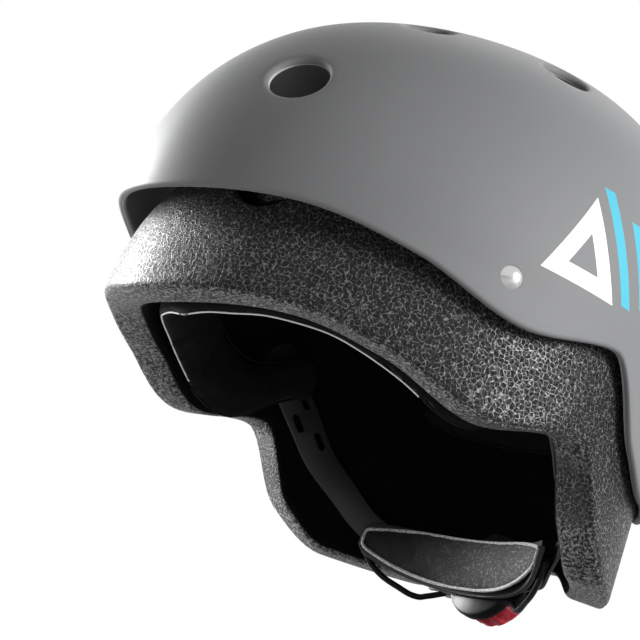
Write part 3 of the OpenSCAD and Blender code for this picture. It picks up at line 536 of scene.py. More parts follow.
HEAD_R, HEAD_H, SINK, SHANK_R, SHANK_DEEP, LIP, AXIS = 5.0, 2.6, 0.35, 2.0, 3.2, 0.3, 0.05
ball = (HEAD_R**2 + HEAD_H**2) / (2 * HEAD_H)
ball_edge = math.asin(HEAD_R / ball) * 0.97
head = [(AXIS, HEAD_H)] + [(ball * math.sin(a), HEAD_H - ball * (1 - math.cos(a)))
                           for a in np.linspace(0.08, ball_edge, 14)]
head += [(HEAD_R - 0.1, -0.05), (HEAD_R - 0.6, -LIP), (SHANK_R, -LIP), (SHANK_R, -SHANK_DEEP),
         (AXIS, -SHANK_DEEP)]
RIVETS = ((71, 1.0), (122, -22.0))
spots = [Opening(s * at, rise, HEAD_R) for at, rise in RIVETS for s in (-1, 1)]
rivets = piece("rivet_heads", joined([
    turned(head, Vector(r.middle) + Vector((0, 0, LIFT)) - Vector(r.out) * SINK, r.out)
    for r in spots]), "shell")
chrome = Finish("polished chrome", Metallic=1.0)
smear = chrome.place.noise(4, 3, 0.6)
chrome.set("Base Color", smear.tint((0.5, 0.5, 0.51), (0.66, 0.66, 0.66)))
chrome.set("Roughness", 0.16 + 0.12 * smear)
chrome.bump(chrome.place.noise(1.5, 2), 0.01)
chrome.on(rivets)
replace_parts(rivets, "rivets")
washers = refined("rivet_washers_turned", "rivet_washers", "shell", 0.2)
steel = Finish("zinc plated steel", Metallic=0.9)
spangle = steel.place.noise(1.2, 3, 0.6)
steel.set("Base Color", spangle.tint((0.5, 0.5, 0.5), (0.66, 0.66, 0.65)))
steel.set("Roughness", 0.3 + 0.2 * spangle)
steel.on(washers)

# Comfort pads
# Soft foam in a brushed black knit, sewn shut all round with a thin cord in the seam. They hold
# to the liner by hook and loop patches.
PATCH_SEAT, PATCH_THICK, CLEAR, MARGIN = 0.8, 1.2, 0.3, 1.1
pad_gap = PATCH_SEAT + PATCH_THICK + CLEAR


def bulge(s, e):
    """A rounded outline over s from -1 to 1, fuller as e grows."""
    return np.maximum(0, 1 - np.abs(s) ** e) ** (1 / e)


def loft(rings):
    """A closed body from rings of points in mm."""
    bm = bmesh.new()
    loops = [[bm.verts.new(v) for v in ring] for ring in rings]
    for a, b in zip(loops, loops[1:]):
        for i in range(len(a)):
            j = (i + 1) % len(a)
            bm.faces.new((a[i], a[j], b[j], b[i]))
    bm.faces.new(loops[0])
    bm.faces.new(loops[-1][::-1])
    return bm


def depth(points):
    """How deep points lie under the dome's outer skin, for the liner's side of it."""
    x, y, z = np.asarray(points, float).T
    deepest = 95.0
    low, high = np.full(x.shape, foam_out), np.full(x.shape, deepest)
    for _ in range(26):
        off = (low + high) / 2
        reach = np.where(y < 0, FRONT - BROW_SET_BACK, REAR) - off
        wall = skin(np.degrees(np.arctan2(x / (SIDE - off), -y / reach)), z, off)
        inside = np.hypot(wall[:, 0], wall[:, 1]) > np.hypot(x, y)
        low, high = np.where(inside, off, low), np.where(inside, high, off)
    return low


def held_between(least, most):
    """Keeps points between two depths under the skin."""
    reach = 0.2

    def press(points):
        for _ in range(3):
            deep = depth(points)
            slope = np.stack([depth(points + step) - depth(points - step)
                              for step in reach * np.eye(3)], -1) / (2 * reach)
            miss = np.clip(deep, least, most) - deep
            points = points + slope * (miss / np.maximum(np.sum(slope**2, 1), 0.2))[:, None]
        return points
    return press


def applied(made):
    """Bakes the piece's modifiers into its mesh."""
    graph = bpy.context.evaluated_depsgraph_get()
    mesh = bpy.data.meshes.new_from_object(made.evaluated_get(graph))
    made.modifiers.clear()
    old, made.data = made.data, mesh
    bpy.data.meshes.remove(old)
    return mesh


def cushion(name, rings, body, cap, press, voxel=2.6):
    """A pad of even mesh, blown up by cloth by cap mm at most, and pressed on its seat."""
    pad = piece(name, loft(rings), body)
    grid = pad.modifiers.new("grid", "REMESH")
    grid.mode, grid.voxel_size = "VOXEL", voxel * MM
    mesh = applied(pad)
    start = np.array([v.co[:] for v in mesh.vertices])
    air = pad.modifiers.new("air", "CLOTH").settings
    air.use_pressure, air.uniform_pressure_force = True, 4
    air.effector_weights.gravity = 0
    air.tension_stiffness = air.compression_stiffness = 8
    scene = bpy.context.scene
    for moment in range(1, 21):
        scene.frame_set(moment)
    mesh = applied(pad)
    scene.frame_set(1)
    move = np.array([v.co[:] for v in mesh.vertices]) - start
    far = np.linalg.norm(move, axis=1)
    move *= np.minimum(1, cap * MM / np.maximum(far, 1e-9))[:, None]
    for v, place in zip(mesh.vertices, press((start + move) / MM - worn)):
        v.co = (place + worn) * MM
    pad.modifiers.new("finer", "SUBSURF").levels = 1
    applied(pad).shade_smooth()
    return pad


def cord(name, route, radius, body, closed=True, steps=3):
    """A round cord through points given in mm."""
    curve = bpy.data.curves.new(name, "CURVE")
    curve.dimensions, curve.use_fill_caps = "3D", True
    curve.bevel_depth, curve.bevel_resolution, curve.resolution_u = radius * MM, 3, steps
    line = curve.splines.new("BEZIER")
    line.bezier_points.add(len(route) - 1)
    for point, place in zip(line.bezier_points, route):
        point.co = (np.asarray(place) + worn) * MM
        point.handle_left_type = point.handle_right_type = "AUTO"
    line.use_cyclic_u = closed
    drawn = bpy.data.objects.new(name, curve)
    bpy.context.scene.collection.objects.link(drawn)
    graph = bpy.context.evaluated_depsgraph_get()
    mesh = bpy.data.meshes.new_from_object(drawn.evaluated_get(graph))
    bpy.data.objects.remove(drawn)
    mesh.shade_smooth()
    made = bpy.data.objects.new(name, mesh)
    bpy.context.scene.collection.objects.link(made)
    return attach(made, body)


def sewn(pad, name, path, width, deep, radius, body, closed=True):
    """Draws the pad in along a seam and lays its cord there."""
    mesh, bed = pad.data, 0.55
    tree = BVHTree.FromPolygons([v.co for v in mesh.vertices], [p.vertices for p in mesh.polygons])
    hits = [tree.find_nearest(Vector((np.asarray(place) + worn) * MM)) for place in path]
    line, out = (np.array([h[k][:] for h in hits]) for k in (0, 1))
    for _ in range(5):
        for row in (line, out):
            smooth = (np.roll(row, 1, 0) + 2 * row + np.roll(row, -1, 0)) / 4
            row[:] = smooth if closed else np.concatenate([row[:1], smooth[1:-1], row[-1:]])
    after = np.roll(line, -1, 0) if closed else np.concatenate([line[1:], line[-1:]])
    spots = np.concatenate([line * (1 - t) + after * t for t in np.arange(0, 1, 0.25)])
    normals = [v.normal.copy() for v in mesh.vertices]
    for v, n in zip(mesh.vertices, normals):
        d = np.sqrt(np.min(np.sum((spots - np.array(v.co)) ** 2, 1))) / MM
        if d < width:
            v.co -= n * deep * MM * (1 - (d / width) ** 2) ** 2
    return cord(name, line / MM - out * deep * bed - worn, radius, body, closed)


BROW_END, BROW_HIGH, BROW_THICK, ARM_ROOM = 104.0, 38.0, 9.0, 6.8
PAD_RISE, BROW_TAIL, CLIMB_AT, CLIMB_LONG = -5.0, 14.0, 82, 26


def ease(t):
    """Goes smoothly from 0 to 1."""
    u = np.clip(t, 0, 1)
    return u * u * (3 - 2 * u)


def brow_low(p):
    """Height of the brow pad's lower edge, which leaves the rim at the ear and climbs."""
    t = ease((np.abs(p) - CLIMB_AT) / CLIMB_LONG)
    return (rim(p) + PAD_RISE) * (1 - t) + BROW_TAIL * t


def brow_line(s, across, deep):
    """A place on the brow pad: along it, up it and into it, each from -1 to 1."""
    e = np.maximum(bulge(s, 8), 0.35)
    half = BROW_HIGH / 2 * (0.35 + 0.65 * bulge(s, 3)) * e
    p = s * BROW_END
    middle = brow_low(p) + half
    seat = foam_in + pad_gap + (ARM_ROOM - pad_gap) * ease((abs(s) - 0.6) / 0.2)
    return skin(p, middle + (half - MARGIN) * across,
                seat + BROW_THICK * e * (0.5 + 0.5 * deep))


PAD_TIP = 0.985


def edge_walk(count):
    """Once round a pad's edge: along its lower side, and back along its upper one."""
    places = np.sin(np.linspace(-1, 1, count) * math.pi / 2) * PAD_TIP
    return [(s, -1.0) for s in places] + [(s, 1.0) for s in places[::-1]]


def pad_rings(line, plump, count):
    """Rings across a pad, from a function that places a point along it, up it and into it."""
    turns = np.arange(20) * 2 * math.pi / 20
    return [[line(s, math.copysign(abs(math.cos(a)) ** 0.8, math.cos(a)), plump * math.sin(a))
             for a in turns] for s in np.linspace(-0.99, 0.99, count)]


brow_pad = cushion("brow_pad_sewn", pad_rings(brow_line, 0.6, 70), "liner", 2.2,
                   held_between(foam_in + pad_gap, foam_in + ARM_ROOM + BROW_THICK))
PALE_EDGE, PALE_DEEP = -1.08, -0.4
brow_seam = sewn(brow_pad, "brow_pad_cord",
                 [brow_line(s, PALE_EDGE, PALE_DEEP) for s in np.linspace(-0.6, 0.62, 60)],
                 2.2, 0.7, 0.32, "liner", False)
dark_edge = [(s, -1.0) for s in np.linspace(0.64, PAD_TIP, 20)]
dark_edge += [(s, 1.0) for s in PAD_TIP * np.sin(np.linspace(1, -1, 70) * math.pi / 2)]
dark_edge += [(s, -1.0) for s in np.linspace(-PAD_TIP, -0.62, 20)]
brow_welt = sewn(brow_pad, "brow_pad_welt",
                 [brow_line(s, across, 0.2) for s, across in dark_edge],
                 2.6, 0.8, 0.5, "liner", False)
knit = Finish("brushed black knit", Specular_IOR_Level=0.12, Sheen_Weight=0.02, Sheen_Roughness=0.4)
stitch = knit.place.knots(1.1)
pile = knit.place.noise(0.35, 2, 0.6)
worn_pile = knit.place.noise(14, 3)
knit.set("Base Color", (stitch * 0.5 + pile * 0.5).tint(
    (0.002, 0.002, 0.0022), (0.009, 0.009, 0.0095)))
knit.set("Roughness", 0.8 + 0.15 * worn_pile)
knit.bump(stitch * 0.6 + pile * 0.4, 0.25)
# The brow seam's cord is pale thread, and its paleness is also a painted highlight along the pad's
# lower edge.
thread = Finish("pale seam thread with painted highlight", Sheen_Weight=0.1)
twist = (thread.place.axis(0) * 3000 + thread.place.axis(2) * 4500).sum("SINE")
thread.set("Base Color", (0.5 + 0.5 * twist).tint((0.3, 0.3, 0.3), (0.85, 0.85, 0.85)))
thread.set("Roughness", 0.7 + 0.1 * twist)
thread.bump(twist, 0.1)
knit.on(brow_pad, brow_welt)
thread.on(brow_seam)
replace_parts(brow_pad, "brow_pad")

CROWN_LONG, CROWN_WIDE, CROWN_THICK, CROWN_SHIFT = 96.0, 62.0, 8.0, -6.0


def under_dome(x, y, off):
    """The place under the dome at x, y, at a depth."""
    reach = np.where(y < 0, FRONT - BROW_SET_BACK, REAR) - off
    p = np.arctan2(x, -y)
    e = (np.abs(x / (SIDE - off)) ** PLAN_FULL + np.abs(y / reach) ** PLAN_FULL) ** (1 / PLAN_FULL)
    full = FRONT_FULL * (1 + np.cos(p)) / 2 + REAR_FULL * (1 - np.cos(p)) / 2
    return np.stack([x, y, (CROWN - off) * np.maximum(0, 1 - e**full) ** (1 / full)], -1)


def crown_ring(t, side):
    """A ring of the crown pad at a share of its width, on its upper or lower side."""
    a = np.arange(40) * 2 * math.pi / 40
    return under_dome((CROWN_WIDE / 2 - MARGIN) * t * np.cos(a),
                      (CROWN_LONG / 2 - MARGIN) * t * np.sin(a) + CROWN_SHIFT,
                      foam_in + pad_gap + CROWN_THICK / 2 * (1 - side * 0.7 * bulge(t, 3)))


crown_rings = [crown_ring(t, 1) for t in np.linspace(0.05, 1, 12)]
crown_rings += [crown_ring(t, -1) for t in np.linspace(0.98, 0.05, 12)]
crown_deep = foam_in + pad_gap + CROWN_THICK
crown_pad = cushion("crown_pad_sewn", crown_rings, "liner", 2.2,
                    held_between(foam_in + pad_gap, crown_deep))
crown_seam = sewn(crown_pad, "crown_pad_cord", crown_ring(1.0, 0), 2.6, 0.8, 0.55, "liner")
CHANNEL_AT, CHANNEL_HALF = 9.0, 32.0
channel = np.linspace(-CHANNEL_HALF, CHANNEL_HALF, 24)
channels = [sewn(crown_pad, name, under_dome(x + 0 * channel, channel + CROWN_SHIFT, crown_deep),
                 4.0, 1.6, 0.3, "liner", False)
            for name, x in (("crown_pad_channel_right", -CHANNEL_AT),
                            ("crown_pad_channel_left", CHANNEL_AT))]
knit.on(crown_pad, crown_seam, *channels)
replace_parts(crown_pad, "crown_pad")

REAR_HALF, REAR_HIGH, REAR_THICK, REAR_RISE = 46.0, 34.0, 8.0, 59.0


def rear_line(s, across, deep):
    """A place on the rear pad: along it, up it and into it, each from -1 to 1."""
    e = bulge(s, 6)
    half = REAR_HIGH / 2 * np.maximum(e, 0.4) - MARGIN
    return skin(180 + s * REAR_HALF, rim_rise[-1] + REAR_RISE + half * across,
                foam_in + pad_gap + REAR_THICK * np.maximum(e, 0.3) * (0.5 + 0.5 * deep))


rear_pad = cushion("rear_pad_sewn", pad_rings(rear_line, 0.6, 40), "liner", 2.2,
                   held_between(foam_in + pad_gap, foam_in + pad_gap + REAR_THICK))
rear_seam = sewn(rear_pad, "rear_pad_cord",
                 [rear_line(s, across, 0.1) for s, across in edge_walk(30)],
                 2.6, 0.8, 0.55, "liner")
knit.on(rear_pad, rear_seam)
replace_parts(rear_pad, "rear_pad")


def patch(place, half_a, half_b):
    """A thin patch with round corners. place takes an angle, a rise and a depth."""
    a = np.arange(48) * 2 * math.pi / 48
    lobe_a = np.sign(np.cos(a)) * np.abs(np.cos(a)) ** 0.5
    lobe_b = np.sign(np.sin(a)) * np.abs(np.sin(a)) ** 0.5
    low, high = foam_in + PATCH_SEAT, foam_in + PATCH_SEAT + PATCH_THICK
    rows = [(t, low) for t in (0.05, 0.5, 0.98)] + [(1, low + 0.3), (1, high - 0.3)]
    rows += [(t, high) for t in (0.98, 0.5, 0.05)]
    return loft([place(half_a * t * lobe_a, half_b * t * lobe_b, off) for t, off in rows])


loops = Finish("hook and loop", Specular_IOR_Level=0.2)
hooks = loops.place.knots(0.8)
loops.set("Base Color", hooks.tint((0.05, 0.05, 0.052), (0.012, 0.012, 0.013)))
loops.set("Roughness", 0.85 + 0.1 * hooks)
loops.bump(hooks, 0.4)
BROW_PATCHES, REAR_PATCHES = ((-58, 9), (0, 12), (58, 9)), ((155, 10), (205, 10))
brow_patches = piece("brow_patches_loop", joined([
    patch(lambda a, b, off, p=p: skin(p + a, brow_low(p) + BROW_HIGH / 2 + b, off), half, 8)
    for p, half in BROW_PATCHES]), "liner")
rear_patches = piece("rear_patches_loop", joined([
    patch(lambda a, b, off, p=p: skin(p + a, rim_rise[-1] + REAR_RISE + b, off), half, 9)
    for p, half in REAR_PATCHES]), "liner")
crown_patch = piece("crown_patch_loop", patch(lambda a, b, off: under_dome(a, b + CROWN_SHIFT, off),
                                              CROWN_WIDE / 4, CROWN_LONG / 4), "liner")
loops.on(brow_patches, rear_patches, crown_patch)
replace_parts(brow_patches, "brow_patches")
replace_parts(rear_patches, "rear_patches")
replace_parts(crown_patch, "crown_patch")

# Temple fittings
# Nylon inserts moulded into the foam, and the flat headed pins that the fit band turns on.
nylon = Finish("black nylon", Specular_IOR_Level=0.5)
flow = nylon.place.noise(9, 3, 0.6)
tooth_mark = nylon.place.noise(0.4, 2, 0.5)
nylon.set("Base Color", (flow * 0.7 + tooth_mark * 0.3).tint(
    (0.012, 0.012, 0.013), (0.022, 0.022, 0.024)))
nylon.set("Roughness", 0.32 + 0.2 * flow + 0.08 * tooth_mark)
nylon.bump(tooth_mark, 0.02)
inserts = refined("temple_inserts_moulded", "temple_inserts", "liner", 0.3)
pins = refined("temple_pins_moulded", "temple_pins", "liner", 0.35)
nylon.on(inserts, pins)

# Fit band
# Two arms of flexible black nylon run from the temple pins down and back to the dial. Near the
# nape they hold the cradle by two pins. Each arm has three slots.
PIN_Y, PIN_Z, PIN_R = 2.0, 24.0, 2.5
BAND_THICK, BAND_WIDE, BAND_NARROW, BAND_DEEP = 1.6, 20.0, 12.0, 2.6
CRADLE_CURVE, CRADLE_HALF, CRADLE_HIGH, CRADLE_THICK = 82.0, 56.0, 24.0, 2.0
CRADLE_RISE, CRADLE_LIFT = 1.0, 3.0
DIAL_BACK, DIAL_DROP, DIAL_TILT = 81.0, 39.0, math.radians(5)
HOUSING_HALF, HOUSING_T = 27.0, 3.0
band_off = foam_in + BAND_DEEP
band_x = skin(90, PIN_Z, band_off)[0]
housing_y = DIAL_BACK - HOUSING_T
cradle_y_mid = housing_y - CLEAR - CRADLE_THICK / 2 - CRADLE_HIGH / 2 * math.sin(DIAL_TILT)
cradle_centre = cradle_y_mid - CRADLE_CURVE


def cradle_y(x, off):
    """How far back the cradle's curve lies, off behind its middle."""
    return cradle_centre + np.sqrt((CRADLE_CURVE + off) ** 2 - np.asarray(x) ** 2)


def cradle_z(x):
    """The cradle's height, which climbs to its corners."""
    return CRADLE_RISE - DIAL_DROP + CRADLE_LIFT * (np.abs(x) / CRADLE_HALF) ** 2


def arm_wall(y, z):
    """How far out an arm may lie beside the liner."""
    off, full = band_off, 2.3
    share = (1 - np.clip(z / (CROWN - off), 0, 1) ** full) ** (1 / full) if z > 0 else 1
    reach = (FRONT - BROW_SET_BACK if y < 0 else REAR) - off
    return ((SIDE - off) * share * (1 - (abs(y) / (reach * share)) ** PLAN_FULL) ** (1 / PLAN_FULL)
            - BAND_THICK / 2)


def through(points, count):
    """A smooth curve through points, and the place of each of its samples among them."""
    points = np.asarray(points, float)
    t = np.linspace(0, len(points) - 1, count)
    i = np.minimum(t.astype(int), len(points) - 2)
    u = (t - i)[:, None]
    grown = np.vstack([2 * points[0] - points[1], points, 2 * points[-1] - points[-2]])
    a, b, c, d = (grown[i + k] for k in range(4))
    return b + u / 2 * (c - a + u * (2 * a - 5 * b + 4 * c - d + u * (3 * (b - c) + d - a))), t


def strip(centres, across, normals, half_wide, half_thick, bend=0.45):
    """Rings of a flat strip with rounded edges."""
    corner = [(sx, sy, a + q)
              for sx, sy, q in ((1, 1, 0), (-1, 1, 90), (-1, -1, 180), (1, -1, 270))
              for a in (0, 30, 60, 90)]
    rings = []
    for c, w, n, half in zip(centres, across, normals, half_wide):
        rings.append([c + w * (sx * (half - bend) + bend * math.cos(math.radians(a)))
                      + n * (sy * (half_thick - bend) + bend * math.sin(math.radians(a)))
                      for sx, sy, a in corner])
    return rings


def unit(v):
    """The same directions, at length 1."""
    return v / np.linalg.norm(v, axis=-1, keepdims=True)


def pierced(made, cutters):
    """Cuts closed forms out of a piece."""
    for bm in cutters:
        tool = piece("cutter", bm, "liner")
        cut = made.modifiers.new("cut", "BOOLEAN")
        cut.operation, cut.solver, cut.object = "DIFFERENCE", "EXACT", tool
        applied(made)
        bpy.data.objects.remove(tool)
    made.data.shade_smooth()
    made.data.set_sharp_from_angle(angle=math.radians(35))
    return made


HOLE_R, SLOT_WIDE, SLOT_END = PIN_R + 0.05, 3.4, 2.55
ARM_SLOTS = ((2.45, 3.6), (2.9, -3.2), (3.55, 3.2))
WIDE_TO, NARROWING, END_ROUND, ARM_SAMPLES = 6, 1.2, 9, 121
arm_inner = CLEAR + BAND_THICK / 2 + CRADLE_THICK / 2
corner_y = float(cradle_y(CRADLE_HALF, arm_inner))
drop_y = corner_y - 9

# From the pin down beside the pads, round the flap and along the cradle to the housing.
arm_points = [(band_x - BAND_THICK / 2 - 0.3, PIN_Y - 5, PIN_Z + 6),
              (band_x - BAND_THICK / 2, PIN_Y, PIN_Z + 1)]
arm_points += [(arm_wall(PIN_Y + y, PIN_Z - z) - slack, PIN_Y + y, PIN_Z - z)
               for y, z, slack in ((10, 9, 0.2), (21, 20, 0.6), (32, 32, 0.6))]
arm_points += [(min(CRADLE_HALF + out, arm_wall(y, 0)), y, up - DIAL_DROP)
               for out, y, up in ((15, drop_y, 21), (7, corner_y, 12.5))]
arm_points += [(x, float(cradle_y(x, arm_inner)) + back, up - DIAL_DROP)
               for x, back, up in ((CRADLE_HALF - 3, 5, 6.5), (CRADLE_HALF - 14, 6, 2),
                                   (HOUSING_HALF + 7, 3, 0.3))]
arm_points += [(HOUSING_HALF + CLEAR, housing_y - CLEAR - BAND_THICK / 2, -DIAL_DROP)]
for side, name, node in ((1, "left_arm", "left_band"), (-1, "right_arm", "right_band")):
    centres, t = through(arm_points, ARM_SAMPLES)
    along = unit(np.gradient(centres, axis=0))
    normals = unit(np.stack([along[:, 1], -along[:, 0], 0 * t], -1))
    across = np.cross(normals, along)
    run = np.concatenate([[0], np.cumsum(np.linalg.norm(np.diff(centres, axis=0), axis=1))])
    narrowed = np.maximum(0, 1 - t / WIDE_TO) ** NARROWING
    half = (BAND_NARROW + (BAND_WIDE - BAND_NARROW) * narrowed) / 2
    half *= np.sqrt(1 - (1 - np.clip((run + 0.4) / END_ROUND, 0, 1)) ** 2)
    mirror = np.array([side, 1, 1])
    cutters = [turned([(HOLE_R, -6), (HOLE_R, 6)],
                      mirror * (band_x - BAND_THICK / 2, PIN_Y, PIN_Z), (1, 0, 0))]
    turns = (np.arange(32) + 0.5) * 2 * math.pi / 32
    slot_form = [(SLOT_WIDE / 2 * math.cos(a) + math.copysign(SLOT_END, math.cos(a)),
                  SLOT_WIDE / 2 * math.sin(a)) for a in turns]
    for place, rise in ARM_SLOTS:
        k = int(round(place * (ARM_SAMPLES - 1) / (len(arm_points) - 1)))
        cutters.append(loft([[
            (centres[k] + along[k] * x + across[k] * (y + rise) + normals[k] * h) * mirror
            for x, y in slot_form] for h in (-5, 5)]))
    rings = [np.array(ring) * mirror
             for ring in strip(centres, across, normals, half, BAND_THICK / 2)]
    arm = pierced(piece(name, loft(rings), "fit_band"), cutters)
    nylon.on(arm)
    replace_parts(arm, node)

# Nape cradle
# A curved plate that carries the nape pad, with a round window near each corner, and the two
# pins that hold it to the arms.
PLATE_RINGS, WINDOW_R, WINDOW_IN = 61, 4.5, 22
s = np.linspace(-1, 1, PLATE_RINGS)
x = s * CRADLE_HALF
half = CRADLE_HIGH / 2 * (0.32 + 0.68 * bulge(s, 2.4))
plate_rings = strip(np.stack([x, cradle_y(x, 0), cradle_z(x)], -1),
                    np.tile([0, 0, 1.0], (PLATE_RINGS, 1)),
                    unit(np.stack([x, cradle_y(x, 0) - cradle_centre, 0 * x], -1)),
                    half, CRADLE_THICK / 2)
window_x = CRADLE_HALF - WINDOW_IN
windows = [turned([(WINDOW_R, -8), (WINDOW_R, 8)],
                  (k * window_x, cradle_y(window_x, 0), cradle_z(window_x)), (0, 1, 0))
           for k in (-1, 1)]
plate = pierced(piece("nape_plate", loft(plate_rings), "fit_band"), windows)
nylon.on(plate)
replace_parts(plate, "nape_cradle")
plate_pins = refined("cradle_pins_moulded", "cradle_pins", "fit_band", 0.3)
nylon.on(plate_pins)

# Ribs
# Glossy black rods that run from the cradle's corners down and in to the dial housing.
RIB, RIB_STEPS = 1.3, 12
END_IN, END_DEEP, END_DROP = 7.5, 1.5, 9.5
rib_off = RIB + CLEAR + CRADLE_THICK / 2

# Each point is so far out from the corner, behind the cradle and over it, and where along it.
rib_shape = ((0.5, -0.5, 2, 0), (-1.5, 0, -4, -2), (-7, 0, -9.5, -7), (-16, 0, -13.5, -16),
             (-25, 1.5, -15.5, -25), (-28.5, 2, -14.3, -28))
rib_points = [(CRADLE_HALF + out, float(cradle_y(CRADLE_HALF + at, rib_off)) + back,
               CRADLE_RISE - DIAL_DROP + up) for out, back, up, at in rib_shape]
rib_points += [(HOUSING_HALF - END_IN, DIAL_BACK - END_DEEP, -DIAL_DROP - END_DROP)]
gloss = Finish("glossy black nylon", Specular_IOR_Level=0.1)
swirl = gloss.place.noise(7, 3, 0.55)
gloss.set("Base Color", swirl.tint((0.008, 0.008, 0.009), (0.016, 0.016, 0.017)))
gloss.set("Roughness", 0.2 + 0.12 * swirl)
gloss.bump(gloss.place.noise(2.2, 2), 0.015)
for side, name, node in ((1, "left_rod", "left_rib"), (-1, "right_rod", "right_rib")):
    rod = cord(name, [(side * px, py, pz) for px, py, pz in rib_points], RIB, "fit_band", False,
               RIB_STEPS)
    gloss.on(rod)
    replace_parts(rod, node)

# Nape pad
# Thin foam in dark grey brushed cloth, bound all round, in front of the cradle.
NAPE_THICK, PAD_SAG = 7.0, 0.2
nape_seat = -CRADLE_THICK / 2 - CLEAR - PAD_SAG


def nape_line(s, across, deep):
    """A place on the nape pad: along it, up it and into it, each from -1 to 1."""
    e = bulge(s, 4)
    x = s * (CRADLE_HALF + 1)
    half = (CRADLE_HIGH / 2 + 0.4) * np.maximum(bulge(s, 2.2), 0.12)
    thick = NAPE_THICK * (0.35 + 0.65 * bulge(s, 2)) * np.maximum(e, 0.4)
    back = cradle_y(min(abs(x), CRADLE_HALF), nape_seat - thick * (0.5 + 0.5 * deep))
    return np.array([x, back, cradle_z(x) + half * across])


def on_cradle(points):
    """Keeps the pad in front of the cradle's plate."""
    rel = points[:, 1] - cradle_centre
    far = np.hypot(points[:, 0], rel)
    seat = CRADLE_CURVE + nape_seat
    grow = np.clip(far, seat - NAPE_THICK - 0.5, seat) / far
    return np.stack([points[:, 0] * grow, cradle_centre + rel * grow, points[:, 2]], -1)


nape_pad = cushion("nape_pad_sewn", pad_rings(nape_line, 0.7, 50), "fit_band", 1.8, on_cradle, 2.2)
nape_binding = sewn(nape_pad, "nape_pad_binding",
                    [nape_line(s, across, 0.1) for s, across in edge_walk(36)],
                    2.4, 0.6, 0.75, "fit_band")
felt = Finish("grey brushed cloth", Specular_IOR_Level=0.2, Sheen_Weight=0.06, Sheen_Roughness=0.35)
fibre = felt.place.noise(0.55, 4, 0.75)
speck = felt.place.noise(1.2, 3, 0.7).fade(0.5, 0.66)
# Painted light and shade: the cloth fades to near black towards the pad's end on the wearer's
# right, and is lit grey towards its left end.
painted_light_side = felt.place.axis(0).fade(-0.035, 0.03)
felt.set("Base Color", ((0.35 * fibre + 0.65 * speck) * painted_light_side).tint(
    (0.005, 0.005, 0.005), (0.36, 0.36, 0.36)))
felt.set("Roughness", 0.75 + 0.2 * fibre)
felt.bump(fibre * 0.6 + speck * 0.5, 0.4)
felt.on(nape_pad)
binding = Finish("pale bound edge", Sheen_Weight=0.3)
ply = binding.place.noise(0.5, 3, 0.7)
binding.set("Base Color", ply.fade(0.35, 0.65).tint((0.12, 0.12, 0.12), (0.8, 0.8, 0.8)))
binding.set("Roughness", 0.7 + 0.2 * ply)
binding.bump(ply, 0.2)
binding.on(nape_binding)
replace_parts(nape_pad, "nape_pad")

# Dial
# A housing of glossy black nylon closed by four screws. Two toothed racks slide in its channel
# and a pinion between them draws them together when the red knob turns.
SCREW_AT, SCREW_NEAR, HUB_NEAR = Vector((10, 12.7)), 2.5, 7
dial_turn = Matrix.Rotation(-math.pi / 2 - DIAL_TILT, 3, "X")
dial_middle = Vector((0, DIAL_BACK, -DIAL_DROP))


def in_dial(place):
    """A place as seen along the dial's axis, from its middle."""
    return dial_turn.inverted() @ (Vector(place) - dial_middle)


def outer_edge(place):
    """True on the case's own outline, and not at the hub's hole or the screws'."""
    at = in_dial(place)
    near_screw = (Vector((abs(at.x), abs(at.y))) - SCREW_AT).length < SCREW_NEAR
    return abs(abs(at.z) - HOUSING_T) < 0.05 and at.xy.length > HUB_NEAR and not near_screw


housing = refined("dial_case", "dial_housing", "fit_band", 1.3, outer_edge)
gloss.on(housing)
screws = refined("housing_screws_turned", "housing_screws", "fit_band", 0.15)
steel.on(screws)
racks = [refined("left_rack_moulded", "left_rack", "left_rack", 0.15),
         refined("right_rack_moulded", "right_rack", "right_rack", 0.15)]
nylon.on(*racks)
acetal = Finish("pale acetal", Specular_IOR_Level=0.5)
cloud = acetal.place.noise(3, 3)
acetal.set("Base Color", cloud.tint((0.55, 0.55, 0.5), (0.66, 0.66, 0.62)))
acetal.set("Roughness", 0.3 + 0.15 * cloud)
gear = refined("pinion_moulded", "pinion", "dial", 0.1)
acetal.on(gear)
knob = refined("dial_cap", "dial_knob", "dial", 0.45)
ruby = Finish("clear red plastic", Transmission_Weight=0.25, IOR=1.49, Specular_IOR_Level=0.5)
streak = ruby.place.noise(5, 3, 0.6)
ruby.set("Base Color", streak.fade(0.3, 0.7).tint((0.7, 0.006, 0.03), (1.0, 0.08, 0.13)))
ruby.set("Roughness", 0.1 + 0.25 * streak)
ruby.bump(ruby.place.noise(1.5, 2), 0.03)
ruby.on(knob)
dial_screw = refined("dial_screw_turned", "dial_screw", "dial", 0.15)
steel.on(dial_screw)

# Camera
# It stands in front of the wearer's left brow, a little below, rolled as the picture is. The
# widest line's middle lies at (CENTRE_X, CENTRE_Y) in a picture of 640 by 640.
PICTURE, F_PIXELS, DISTANCE, CENTRE_X, CENTRE_Y = 640, 2199.7, 887.5, 382.5, 417.1
AZIMUTH, ELEVATION, ROLL = 52.16, -13.16, 18.93
az, el, roll = (math.radians(a) for a in (AZIMUTH, ELEVATION, ROLL))
away = Vector((math.sin(az) * math.cos(el), -math.cos(az) * math.cos(el), math.sin(el)))
flat_right = Vector((math.cos(az), math.sin(az), 0))
flat_up = away.cross(flat_right)
right = math.cos(roll) * flat_right + math.sin(roll) * flat_up
up = away.cross(right)
lens = bpy.data.cameras.new("camera")
lens.sensor_width = 36
lens.lens = F_PIXELS * lens.sensor_width / PICTURE
lens.shift_x = (PICTURE / 2 - CENTRE_X) / PICTURE
lens.shift_y = (CENTRE_Y - PICTURE / 2) / PICTURE
lens.clip_start, lens.clip_end = 0.01, 50
camera = bpy.data.objects.new("camera", lens)
bpy.context.scene.collection.objects.link(camera)
eye = Vector(worn * MM) + away * DISTANCE * MM
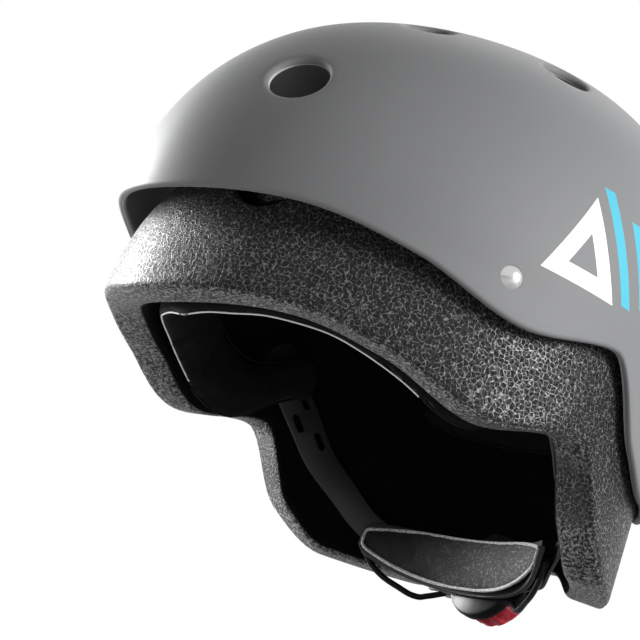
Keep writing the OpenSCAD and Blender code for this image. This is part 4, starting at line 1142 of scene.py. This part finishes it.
camera.matrix_world = Matrix((
    (right.x, up.x, away.x, eye.x), (right.y, up.y, away.y, eye.y), (right.z, up.z, away.z, eye.z),
    (0, 0, 0, 1)))
bpy.context.scene.camera = camera

# Floor and light
# A pale table in a white studio with three soft boxes. The camera sees through it from below, and
# it fades into the white studio away from the helmet.
HALF = 4
ground = bpy.data.meshes.new("floor")
ground.from_pydata([(-HALF, -HALF, 0), (HALF, -HALF, 0), (HALF, HALF, 0), (-HALF, HALF, 0)], [],
                   [(0, 1, 2, 3)])
table = bpy.data.objects.new("floor", ground)
bpy.context.scene.collection.objects.link(table)
table.location.z = cad_low.z - 0.0005
pale = Finish("pale table", Base_Color=(0.5, 0.5, 0.5), Roughness=0.9)
far = pale.place.vector("LENGTH", {0: pale.place}, 1).fade(0.25, 0.75)
under = pale.place.add("NewGeometry", out=6).most(far) * pale.place.add("LightPath", out=0)
pale.show(pale.place.add("BsdfTransparent"), under)
pale.on(table)


def soft_box(name, place, size, power):
    """A soft light that looks at the helmet."""
    lamp = bpy.data.lights.new(name, "AREA")
    lamp.shape, lamp.size, lamp.size_y, lamp.energy = "RECTANGLE", size[0], size[1], power
    box = bpy.data.objects.new(name, lamp)
    bpy.context.scene.collection.objects.link(box)
    box.location = place
    aim = Vector((0, 0, 0.12)) - Vector(place)
    box.rotation_euler = aim.to_track_quat("-Z", "Y").to_euler()


def from_camera(across, rise, toward):
    """A place in metres from the helmet's middle, along the picture's own sides."""
    return Vector(worn * MM) + right * across + up * rise + away * toward


soft_box("left light", from_camera(-1.15, 0.45, -0.75), (0.7, 0.7), 85)
soft_box("right light", from_camera(1.3, 0.35, 0.6), (0.7, 0.7), 37)
soft_box("rear light", from_camera(0.5, 0.9, -1.0), (0.9, 0.5), 4)
AMBIENT = 0.06
world = bpy.data.worlds.new("white studio")
world.use_nodes = True
bpy.context.scene.world = world
sky = Wire(world.node_tree, world.node_tree.nodes["Background"].outputs[0])
seen = sky.add("LightPath", out=0).most(sky.add("LightPath", out=6))
strength = AMBIENT + (1 - AMBIENT) * seen.most(sky.add("LightPath", out=3))
sky.tree.links.new(strength.socket, sky.tree.nodes["Background"].inputs["Strength"])
sky.tree.nodes["Background"].inputs["Color"].default_value = (1, 1, 1, 1)
bpy.context.scene.view_settings.view_transform = "Standard"
